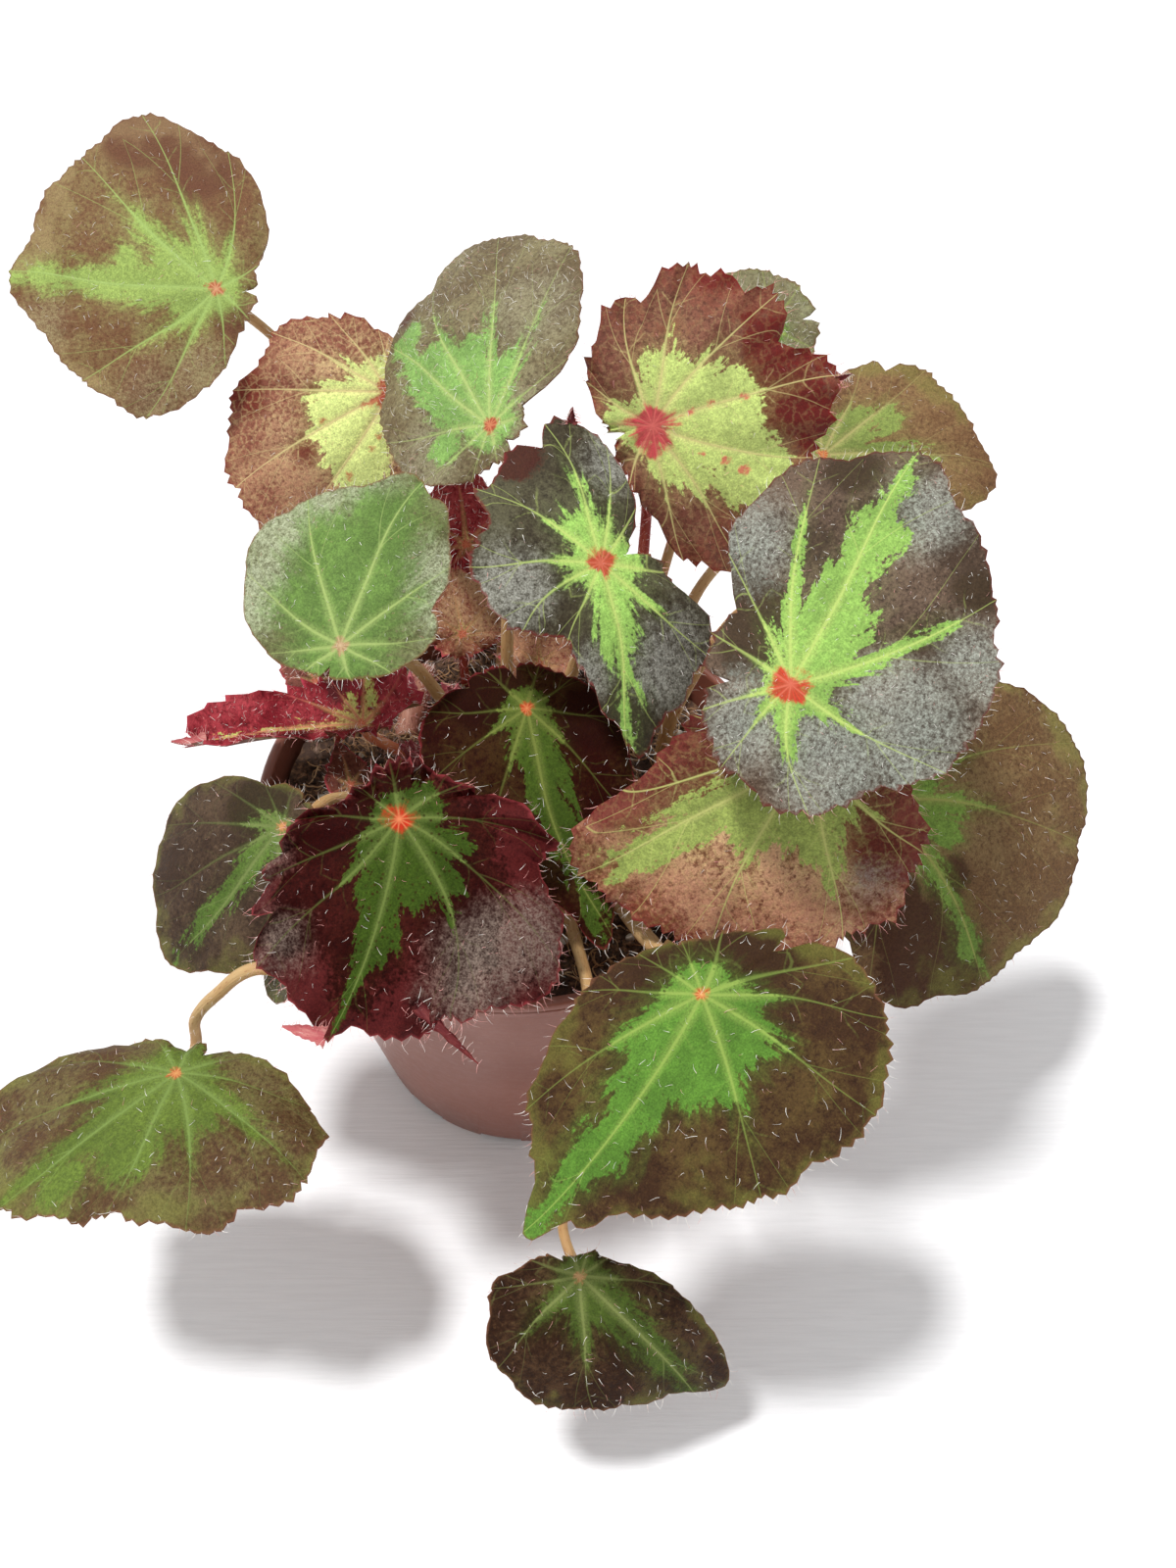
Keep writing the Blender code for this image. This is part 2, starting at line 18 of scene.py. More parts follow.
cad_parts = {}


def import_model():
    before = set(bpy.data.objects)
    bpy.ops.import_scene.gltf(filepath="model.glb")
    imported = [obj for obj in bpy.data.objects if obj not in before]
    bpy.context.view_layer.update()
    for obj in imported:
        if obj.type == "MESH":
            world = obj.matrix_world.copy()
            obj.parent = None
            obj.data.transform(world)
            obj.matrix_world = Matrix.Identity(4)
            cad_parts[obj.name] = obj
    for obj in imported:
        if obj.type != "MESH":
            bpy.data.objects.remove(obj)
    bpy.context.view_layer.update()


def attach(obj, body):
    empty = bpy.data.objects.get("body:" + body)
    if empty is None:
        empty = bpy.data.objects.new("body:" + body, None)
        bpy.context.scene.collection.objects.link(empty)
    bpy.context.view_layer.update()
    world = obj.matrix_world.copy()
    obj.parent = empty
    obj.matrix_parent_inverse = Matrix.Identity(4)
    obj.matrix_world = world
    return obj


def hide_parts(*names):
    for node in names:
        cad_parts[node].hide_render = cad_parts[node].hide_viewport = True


LOG = logging.getLogger("begonia")
MM = 0.001
BODY = "root"

# Sizes shared with the model
RIM_RADIUS = 60.0
POT_HEIGHT = 93.0
BASE_RADIUS = 41.5
POT_WALL = 1.2
LIP_WIDTH = 2.6
LIP_DEPTH = 4.0
FLOOR_RAISE = 3.0
FOOT_HEIGHT = 2.2
FOOT_COUNT = 12
FOOT_TURN = -129.5
PAD_RADIUS = 7.0
DRAIN_COUNT = 6
DRAIN_RADIUS = 4.0
DRAIN_RING = 26.0
SOIL_LEVEL = 85.0
SOIL_BUMP = 1.6
GAP = 0.3
HOLE_DEPTH = 7.0
BLADE_THICKNESS = 0.8
LOBES = 11
LOBE_DEPTH = 0.035
TIP_SPREAD = 9.0

# Seeds: the first for shapes, the others for the hairs of stalks, of the creeping stem and of curled ends
SEED = 7
STALK_HAIR_SEED = 50
STEM_HAIR_SEED = 90
CURL_HAIR_SEED = 120

# Looks alone: the angle of a sharp edge, the shift between two leaves' patterns, the shares of a blade where
# its hairs begin and end and where its margin lies, the least frill with pink hairs, and the value that a
# field of spots has away from all of them
SHARP = 55.0
PATTERN_STEP = 37.0
HAIRY_FROM = 0.08
HAIRY_TO = 0.97
MARGIN = 0.999
FRILLED = 0.4
AWAY = -12.0

Colour = tuple[float, float, float]
Point = tuple[float, float, float]
Spots = tuple[tuple[float, float, float], ...]
Socket = bpy.types.NodeSocket
Input = Socket | float


def paint(red: float, green: float, blue: float, tone: float = 0.80) -> Colour:
    """Linear surface colour for a colour as it looks on a screen under the studio's light.

    Args:
        red: Red from 0 to 255.
        green: Green from 0 to 255.
        blue: Blue from 0 to 255.
        tone: Share of the seen brightness that belongs to the surface.

    Returns:
        The linear colour.
    """
    return tuple(tone * (part / 255.0) ** 2.2 for part in (red, green, blue))


def scaled(colour: Colour, share: float) -> Colour:
    """A darker or brighter form of a colour, with no part over 1."""
    return tuple(min(1.0, share * part) for part in colour)


class Slot(Enum):
    """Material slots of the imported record."""

    POT = "pot"
    SOIL = "soil"
    RHIZOME = "rhizome"
    OLIVE = "leaf_olive"
    RUSSET = "leaf_russet"
    SLATE = "leaf_slate"
    GREEN = "leaf_green"
    DARK = "leaf_dark"
    RED = "leaf_red"
    STALK_TAN = "stalk_tan"
    STALK_RED = "stalk_red"


class Graph:
    """Short way to write a node tree: each call adds one node and returns an output of it."""

    def __init__(self, tree: bpy.types.NodeTree) -> None:
        """Keep the tree that the calls write to."""
        self.tree = tree

    def node(self, kind: str, inputs: dict | None = None, **settings) -> bpy.types.Node:
        """Add a node and set or link its inputs.

        Args:
            kind: Blender's name of the node type.
            inputs: Values or outputs for the node's inputs, by name or index.
            **settings: Properties of the node.

        Returns:
            The node.
        """
        node = self.tree.nodes.new(kind)
        for name, value in settings.items():
            setattr(node, name, value)
        for name, value in (inputs or {}).items():
            if isinstance(value, Socket):
                self.link(value, node, name)
            else:
                node.inputs[name].default_value = value
        return node

    def add(self, kind: str, inputs: dict | None = None, out: int = 0, **settings) -> Socket:
        """Add a node and return one of its outputs."""
        return self.node(kind, inputs, **settings).outputs[out]

    def link(self, value: Socket, node: bpy.types.Node, name: str | int) -> None:
        """Link an output to a node's input."""
        self.tree.links.new(value, node.inputs[name])

    def math(self, operation: str, first: Input, second: Input = 0.0, clamp: bool = False) -> Socket:
        """Arithmetic on one or two numbers."""
        return self.add("ShaderNodeMath", {0: first, 1: second}, operation=operation, use_clamp=clamp)

    def times(self, first: Input, second: Input) -> Socket:
        """Product of two numbers."""
        return self.math("MULTIPLY", first, second)

    def plus(self, first: Input, second: Input) -> Socket:
        """Sum of two numbers."""
        return self.math("ADD", first, second)

    def minus(self, first: Input, second: Input) -> Socket:
        """Difference of two numbers."""
        return self.math("SUBTRACT", first, second)

    def swing(self, value: Input, amount: float) -> Socket:
        """Turn a noise from 0 to 1 into a shift to both sides of zero."""
        return self.times(self.minus(value, 0.5), amount)

    def span(self, value: Input, low: float, high: float, start: float, end: float) -> Socket:
        """Map a number from one range to another."""
        return self.add("ShaderNodeMapRange", {0: value, 1: low, 2: high, 3: start, 4: end})

    def fade(self, value: Input, low: float, high: float) -> Socket:
        """Smooth step from 0 at low to 1 at high, or from 1 down to 0 where low is the larger."""
        flip = low > high
        inputs = {0: value, 1: min(low, high), 2: max(low, high), 3: float(flip), 4: float(not flip)}
        return self.add("ShaderNodeMapRange", inputs, interpolation_type="SMOOTHSTEP")

    def mix(self, share: Input, first: Socket | Colour, second: Socket | Colour,
            blend: str = "MIX") -> Socket:
        """Mix two colours."""
        sides = [(*side, 1.0) if isinstance(side, tuple) else side for side in (first, second)]
        return self.add("ShaderNodeMix", {0: share, 6: sides[0], 7: sides[1]}, out=2,
                        data_type="RGBA", blend_type=blend)

    def lay(self, under: Socket | Colour, over: Socket | Colour, mask: Socket, share: Input) -> Socket:
        """Lay one colour over another through a mask, at a share of its full strength."""
        return self.mix(self.times(mask, share), under, over)

    def noise(self, place: Socket, scale: float, detail: float = 3.0, rough: float = 0.55) -> Socket:
        """Fractal noise from 0 to 1."""
        return self.add("ShaderNodeTexNoise",
                        {"Vector": place, "Scale": scale, "Detail": detail, "Roughness": rough})

    def cells(self, place: Socket, scale: float, feature: str = "F1") -> Socket:
        """Distance to the nearest point or edge of Voronoi cells."""
        return self.add("ShaderNodeTexVoronoi", {"Vector": place, "Scale": scale}, feature=feature)

    def saw(self, value: Input, period: float) -> Socket:
        """Distance from the nearest whole multiple of a period."""
        return self.math("PINGPONG", value, 0.5 * period)

    def value(self, name: str) -> Socket:
        """Number stored on the mesh."""
        return self.add("ShaderNodeAttribute", out=2, attribute_name=name)

    def vector(self, name: str) -> Socket:
        """Vector stored on the mesh."""
        return self.add("ShaderNodeAttribute", out=1, attribute_name=name)

    def stored(self, name: str, kind: str = "FLOAT") -> Socket:
        """Number or vector stored on the mesh, in a Geometry Nodes tree."""
        return self.add("GeometryNodeInputNamedAttribute", {"Name": name}, data_type=kind)

    def place(self) -> Socket:
        """Point in the object's own space."""
        return self.add("ShaderNodeTexCoord", out=3)

    def stretch(self, place: Socket, scale: Point) -> Socket:
        """Scale a pattern's coordinates."""
        return self.add("ShaderNodeMapping", {"Vector": place, "Scale": scale})

    def bump(self, height: Socket, strength: float, distance: float) -> Socket:
        """Surface normal roughened by a height, with the relief's depth in metres."""
        return self.add("ShaderNodeBump", {"Strength": strength, "Distance": distance, "Height": height})

    def end(self, instances: Socket, material: Socket) -> None:
        """End a Geometry Nodes tree with real meshes of one material."""
        real = self.add("GeometryNodeRealizeInstances", {"Geometry": instances})
        dressed = self.add("GeometryNodeSetMaterial", {"Geometry": real, "Material": material})
        self.node("NodeGroupOutput", {0: dressed})


def new_material(name: str) -> tuple[bpy.types.Material, Graph, bpy.types.Node]:
    """Make an empty material around one shader.

    Args:
        name: Name of the material.

    Returns:
        The material, a graph that writes to it and its Principled shader.
    """
    material = bpy.data.materials.new(name)
    material.use_nodes = True
    return material, Graph(material.node_tree), material.node_tree.nodes["Principled BSDF"]


def new_group(name: str, sockets: dict[str, str]) -> tuple[Graph, dict[str, Socket]]:
    """Make a Geometry Nodes group without an end.

    Args:
        name: Name of the group.
        sockets: Kind of each input by its name.

    Returns:
        A graph that writes to the group, and the inputs' values by name.
    """
    tree = bpy.data.node_groups.new(name, "GeometryNodeTree")
    for socket, kind in sockets.items():
        tree.interface.new_socket(socket, in_out="INPUT", socket_type="NodeSocket" + kind)
    tree.interface.new_socket("Result", in_out="OUTPUT", socket_type="NodeSocketGeometry")
    g = Graph(tree)
    return g, {socket: g.add("NodeGroupInput", out=index) for index, socket in enumerate(sockets)}


def mesh_object(name: str, verts: np.ndarray, faces: list, smooth: bool = True) -> bpy.types.Object:
    """Make an object from points in millimetres.

    Args:
        name: Name of the object.
        verts: Points as rows.
        faces: Lists of point indices.
        smooth: Whether the faces are shaded smooth, with sharp edges kept.

    Returns:
        The new object, at the origin.
    """
    mesh = bpy.data.meshes.new(name)
    mesh.from_pydata((np.asarray(verts) * MM).tolist(), [], faces)
    mesh.update()
    if smooth:
        mesh.shade_smooth()
        mesh.set_sharp_from_angle(angle=math.radians(SHARP))
    item = bpy.data.objects.new(name, mesh)
    bpy.context.scene.collection.objects.link(item)
    return item


def store(item: bpy.types.Object, name: str, values: np.ndarray) -> None:
    """Store a number or a vector for each point of a mesh."""
    vector = values.ndim == 2
    kind = "FLOAT_VECTOR" if vector else "FLOAT"
    layer = item.data.attributes.new(name, kind, "POINT")
    layer.data.foreach_set("vector" if vector else "value", np.ascontiguousarray(values, np.float32).ravel())


def settle(item: bpy.types.Object) -> None:
    """Replace an object's mesh with the result of its modifiers and remove them."""
    graph = bpy.context.evaluated_depsgraph_get()
    mesh = bpy.data.meshes.new_from_object(item.evaluated_get(graph))
    item.modifiers.clear()
    item.data = mesh
    mesh.name = item.name


def run_group(name: str, source: bpy.types.Object, tree: bpy.types.NodeTree,
              values: dict) -> bpy.types.Object:
    """Run a Geometry Nodes group on a mesh.

    Args:
        name: Name of the result.
        source: Object whose mesh the group starts from.
        tree: The group.
        values: Values of its other inputs by name.

    Returns:
        The result as a plain mesh.
    """
    item = bpy.data.objects.new(name, source.data)
    bpy.context.scene.collection.objects.link(item)
    modifier = item.modifiers.new("group", "NODES")
    modifier.node_group = tree
    for socket in tree.interface.items_tree:
        if socket.name in values:
            modifier[socket.identifier] = values[socket.name]
    settle(item)
    return item


def finish_piece(item: bpy.types.Object, slot: Slot, *nodes: str) -> None:
    """Let a piece ride on the body and stand for the model's nodes."""
    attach(item, BODY)
    if nodes:
        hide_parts(*nodes)
    LOG.info("%s: %d faces", item.name, len(item.data.polygons))


def tube_walls(rings: int, sides: int, start: int = 0) -> list:
    """Side faces of a tube whose points are listed ring by ring."""
    return [(low + i, low + (i + 1) % sides, low + sides + (i + 1) % sides, low + sides + i)
            for low in range(start, start + (rings - 1) * sides, sides) for i in range(sides)]


def tube_ends(rings: int, sides: int, start: int = 0) -> list:
    """First and last face of such a tube."""
    last = start + (rings - 1) * sides
    return [tuple(range(start, start + sides))[::-1], tuple(range(last, last + sides))]


def sweep(path: np.ndarray, radii: np.ndarray, sides: int) -> tuple[np.ndarray, list, np.ndarray]:
    """Closed tube along a path.

    Args:
        path: Points along the axis.
        radii: Radius at each point.
        sides: Number of sides.

    Returns:
        Points, faces, and for each point its place on the straightened tube.
    """
    tangents = np.gradient(path, axis=0)
    tangents /= np.linalg.norm(tangents, axis=1)[:, None]
    lengths = np.concatenate([[0.0], np.cumsum(np.linalg.norm(np.diff(path, axis=0), axis=1))])
    side = np.cross(tangents[0], (0.31, 0.85, 0.2))
    angles = np.arange(sides) * 2.0 * math.pi / sides
    verts, run = [], []
    for spot, tangent, radius, length in zip(path, tangents, radii, lengths):
        side = side - tangent * side.dot(tangent)
        side /= np.linalg.norm(side)
        other = np.cross(tangent, side)
        for angle in angles:
            verts.append(spot + radius * (math.cos(angle) * side + math.sin(angle) * other))
            run.append((radius * math.cos(angle), radius * math.sin(angle), length))
    faces = tube_walls(len(path), sides) + tube_ends(len(path), sides)
    return np.array(verts), faces, np.array(run)


def hairy_tube(name: str, verts: np.ndarray, faces: list, run: np.ndarray) -> bpy.types.Object:
    """Make an object with the fields that a stalk's finish and hairs read.

    Args:
        name: Name of the object.
        verts: Points as rows.
        faces: Lists of point indices.
        run: Place of each point on the straightened tube.

    Returns:
        The new object.
    """
    item = mesh_object(name, verts, faces)
    store(item, "run", run)
    store(item, "hairy", np.ones(len(verts)))
    return item


@dataclass(frozen=True)
class Vein:
    """One main vein of a blade.

    Attributes:
        begin: Direction in which it leaves the star.
        end: Direction in which it meets the margin.
        fork: Share of its length after which it forks.
        green: Share of its length that the green splash follows.
        wide: Half width of the splash along it.
    """

    begin: float
    end: float
    fork: float = 0.62
    green: float = 0.3
    wide: float = 2.0


def veins(*rows: tuple[float, ...]) -> tuple[Vein, ...]:
    """Veins of a blade, each from its directions at the star and the margin and any further fields."""
    return tuple(Vein(*row) for row in rows)


@dataclass(frozen=True)
class LeafFinish:
    """Colours and surface of a blade's upper and lower face.

    Attributes:
        base: Main colour.
        mottle: Second colour, in soft patches.
        splash: Colour of the splash along the midrib.
        vein: Colour of the veins.
        star: Colour of the blot where the veins meet.
        core: Colour of its middle.
        rim: Colour of the margin.
        sheen: Colour of the painted sheen, a silvery reflection of the light laid into the colour.
        film: How strongly the painted sheen shows in its spots.
        net: How clearly the fine net of veins shows.
        star_radius: Radius of the blot.
        halo: Radius of the green round the blot.
        rough: Roughness of the upper face.
        blush: How much of the outer part takes the rim's colour.
        glow: How much of the splash's colour the tissue outside it has.
        shade: Colour of the blade's darker spots.
        edge: Colour of pale patches along the margin.
        edging: How much those patches cover.
        soft: Width over which the splash fades at its edge.
        heart: How pale the blot's middle is.
        spread: Width of the blot's soft edge as a share of its radius.
        bold: How clearly the veins show outside the splash.
        gloss: Strength of the upper face's shine.
        dotted: How far from its edge the splash has dark dots.
    """

    base: Colour
    mottle: Colour
    splash: Colour
    vein: Colour
    star: Colour
    core: Colour = paint(238, 150, 110)
    rim: Colour = paint(96, 48, 38)
    sheen: Colour = paint(160, 160, 148)
    film: float = 0.0
    net: float = 0.05
    star_radius: float = 1.5
    halo: float = 6.0
    rough: float = 0.55
    blush: float = 0.0
    glow: float = 0.25
    shade: Colour = paint(58, 18, 20)
    edge: Colour = paint(128, 132, 62)
    edging: float = 0.0
    soft: float = 0.4
    heart: float = 0.5
    spread: float = 0.3
    bold: float = 0.34
    gloss: float = 0.14
    dotted: float = 3.5

    def tinted(self, **changes: float | Colour) -> "LeafFinish":
        """The finish with some fields changed, whose colours are given as they look on a screen."""
        return replace(self, **{name: paint(*value) if isinstance(value, tuple) else value
                                for name, value in changes.items()})

    def pattern(self, g: Graph) -> dict[str, Socket]:
        """Noises and masks that the colour and the relief share.

        Args:
            g: The graph to write to.

        Returns:
            The outputs by name.
        """
        flat = g.vector("flat")
        share, vein = g.value("share"), g.value("vein")
        grain = g.noise(flat, 0.95, 5.0, 0.72)
        patches = g.noise(flat, 0.065, 4.0, 0.62)
        streak = g.minus(g.noise(g.vector("streak"), 1.0, 4.0, 0.66), 0.5)
        torn = g.times(g.times(streak, g.fade(g.value("star"), 1.0, 16.0)), 13.0)
        fine = g.noise(flat, 2.6, 3.0, 0.7)
        ragged = g.swing(grain, 5.0)
        edge = g.plus(g.value("splash"), g.plus(torn, ragged))
        slim = g.minus(1.15, g.times(share, 0.85))
        main_line = g.fade(g.math("DIVIDE", vein, slim), 0.46, 0.10)
        branch = g.fade(g.math("DIVIDE", g.math("ABSOLUTE", g.value("fork")), slim), 0.30, 0.06)
        wobble = g.times(g.noise(flat, 0.13, 2.0), 4.0)
        bent = g.plus(g.minus(g.value("star"), g.times(vein, 0.8)), wobble)
        side = g.times(g.fade(g.saw(bent, 9.0), 0.32, 0.06), g.fade(grain, 0.30, 0.62))
        side = g.times(side, g.fade(vein, 5.5, 2.5))
        lines = g.math("MAXIMUM", main_line, g.times(branch, 0.6))
        return {"flat": flat, "share": share, "vein": vein, "grain": grain, "patches": patches, "edge": edge,
                "slim": slim, "side": side, "lines": lines, "fine": fine, "streak": streak}

    def tissue(self, g: Graph, parts: dict[str, Socket]) -> Socket:
        """Colour of the upper face before the splash and the veins.

        Args:
            g: The graph to write to.
            parts: The pattern's outputs.

        Returns:
            The colour.
        """
        flat, share, grain, patches = (parts[name] for name in ("flat", "share", "grain", "patches"))
        deep = scaled(self.base, 0.55)
        light = scaled(self.mottle, 1.35)
        cloud = g.plus(patches, g.swing(grain, 0.6))
        colour = g.mix(g.fade(cloud, 0.36, 0.66), self.base, self.mottle)
        colour = g.lay(colour, deep, g.fade(grain, 0.50, 0.30), 0.75)
        colour = g.lay(colour, light, g.fade(grain, 0.56, 0.72), 0.55)
        spots = g.plus(g.value("shade"), g.swing(cloud, 16.0))
        colour = g.lay(colour, self.shade, g.fade(spots, -1.5, 1.5), 0.85)
        if self.edging > 0.0:
            outer = g.plus(share, g.swing(patches, 1.3))
            colour = g.lay(colour, self.edge, g.fade(outer, 0.86, 1.08), self.edging)
        if self.net > 0.1:
            sway = g.add("ShaderNodeTexNoise", {"Vector": flat, "Scale": 0.5, "Detail": 2.0}, out=1)
            bent = g.add("ShaderNodeVectorMath", {0: flat, 1: sway}, operation="ADD")
            bent = g.add("ShaderNodeVectorMath", {0: bent, 1: sway}, operation="ADD")
            net = g.fade(g.cells(bent, 0.42, "DISTANCE_TO_EDGE"), 0.15, 0.0)
            net = g.times(net, g.fade(grain, 0.36, 0.56))
            colour = g.lay(colour, self.vein, net, self.net)
        if self.blush > 0.0:
            outer = g.plus(share, g.swing(cloud, 1.5))
            colour = g.lay(colour, self.rim, g.fade(outer, 0.70, 0.95), self.blush)
        # Painted sheen: a silvery reflection of the light, laid into the colour in spots.
        if self.film > 0.0:
            spots = g.plus(g.value("film"), g.swing(cloud, 16.0))
            wide = g.fade(spots, -5.0, 5.0)
            dust = g.fade(g.plus(g.times(grain, 0.6), g.times(parts["fine"], 0.4)), 0.31, 0.66)
            colour = g.lay(colour, self.sheen, g.times(wide, dust), self.film)
        return colour

    def greened(self, g: Graph, parts: dict[str, Socket], colour: Socket) -> Socket:
        """Lay the splash, its dots and the veins over the tissue.

        Args:
            g: The graph to write to.
            parts: The pattern's outputs.
            colour: The tissue's colour.

        Returns:
            The colour.
        """
        flat, share, vein, grain, patches = (
            parts[name] for name in ("flat", "share", "vein", "grain", "patches"))
        veil = g.times(g.fade(parts["edge"], -5.0, 1.0), self.glow)
        bright = g.mix(g.fade(grain, 0.32, 0.68), scaled(self.splash, 0.78), scaled(self.splash, 1.22))
        dim = g.times(g.fade(patches, 0.54, 0.40), 0.5)
        bright = g.mix(dim, bright, scaled(self.splash, 0.6))
        colour = g.mix(veil, colour, bright)
        dots = g.times(g.fade(g.cells(flat, 0.8), 0.30, 0.16), g.fade(parts["edge"], self.dotted, 0.0))
        full = g.fade(parts["edge"], -self.soft, self.soft)
        mask = g.math("SUBTRACT", full, g.times(dots, 0.8), clamp=True)
        colour = g.mix(mask, colour, bright)
        trail = g.math("DIVIDE", g.plus(vein, g.times(grain, 1.3)), parts["slim"])
        near = g.times(g.fade(trail, 1.7, 0.8), g.fade(share, 1.0, 0.3))
        colour = g.lay(colour, bright, near, self.bold)
        colour = g.lay(colour, self.vein, g.times(g.fade(trail, 2.6, 0.9), mask), 0.4)
        speckle = g.mix(g.fade(parts["fine"], 0.30, 0.70), (0.76, 0.76, 0.76), (1.24, 1.24, 1.24))
        colour = g.mix(1.0, colour, speckle, "MULTIPLY")
        colour = g.lay(colour, self.vein, parts["side"], 0.45 * self.bold)
        clear = g.plus(self.bold, g.times(mask, 0.7 - self.bold))
        return g.lay(colour, self.vein, parts["lines"], clear)

    def starred(self, g: Graph, parts: dict[str, Socket], colour: Socket) -> Socket:
        """Lay the red spots, the blot where the veins meet and the margin's colour over the rest.

        Args:
            g: The graph to write to.
            parts: The pattern's outputs.
            colour: The colour so far.

        Returns:
            The colour.
        """
        flat, vein, grain = (parts[name] for name in ("flat", "vein", "grain"))
        reds = g.plus(g.value("reds"), g.swing(grain, 4.0))
        colour = g.lay(colour, self.star, g.fade(reds, -0.5, 0.5), 0.75)
        star, radius = g.value("star"), self.star_radius
        lump = g.minus(g.noise(flat, 0.9 / radius, 2.0), 0.5)
        ray = g.plus(g.swing(grain, 0.9 * radius + 0.7), g.times(lump, 2.4 * radius))
        ray = g.plus(ray, g.times(parts["streak"], 1.3 * radius))
        soft = 0.12 + self.spread * radius
        blot = g.fade(g.minus(star, ray), radius + soft, radius - soft)
        core = g.math("MAXIMUM", g.times(g.fade(star, radius * 0.6, 0.0), self.heart),
                      g.times(g.fade(vein, 0.24, 0.03), 0.6))
        streaky = g.mix(g.fade(parts["streak"], -0.05, 0.12), scaled(self.star, 0.7), self.star)
        colour = g.lay(colour, g.mix(core, streaky, self.core), blot, 0.9)
        tooth = g.fade(g.plus(g.value("rim"), g.times(grain, 1.4)), 1.35, 0.6)
        return g.lay(colour, self.rim, tooth, 0.8)

    def dress(self, name: str) -> bpy.types.Material:
        """Write the blade's material.

        Args:
            name: Name of the material.

        Returns:
            The material.
        """
        material, g, shader = new_material(name)
        parts = self.pattern(g)
        back = g.mix(g.fade(parts["patches"], 0.35, 0.7), paint(126, 70, 58), paint(150, 112, 82))
        back = g.lay(back, paint(150, 160, 96), g.fade(parts["edge"], -0.5, 0.8), 0.6)
        back = g.mix(g.math("MAXIMUM", g.fade(parts["vein"], 0.8, 0.3), g.times(parts["lines"], 0.6)),
                     back, paint(186, 150, 108))
        upper = self.starred(g, parts, self.greened(g, parts, self.tissue(g, parts)))
        colour = g.mix(g.value("under"), upper, back)
        g.link(colour, shader, "Base Color")
        height = g.plus(g.times(parts["grain"], 0.6), g.times(parts["lines"], 0.08))
        g.link(g.bump(height, 0.9, 0.0007), shader, "Normal")
        wet = g.span(parts["grain"], 0.3, 0.7, self.rough - 0.1, self.rough + 0.15)
        g.link(wet, shader, "Roughness")
        shader.inputs["Specular IOR Level"].default_value = self.gloss
        return material


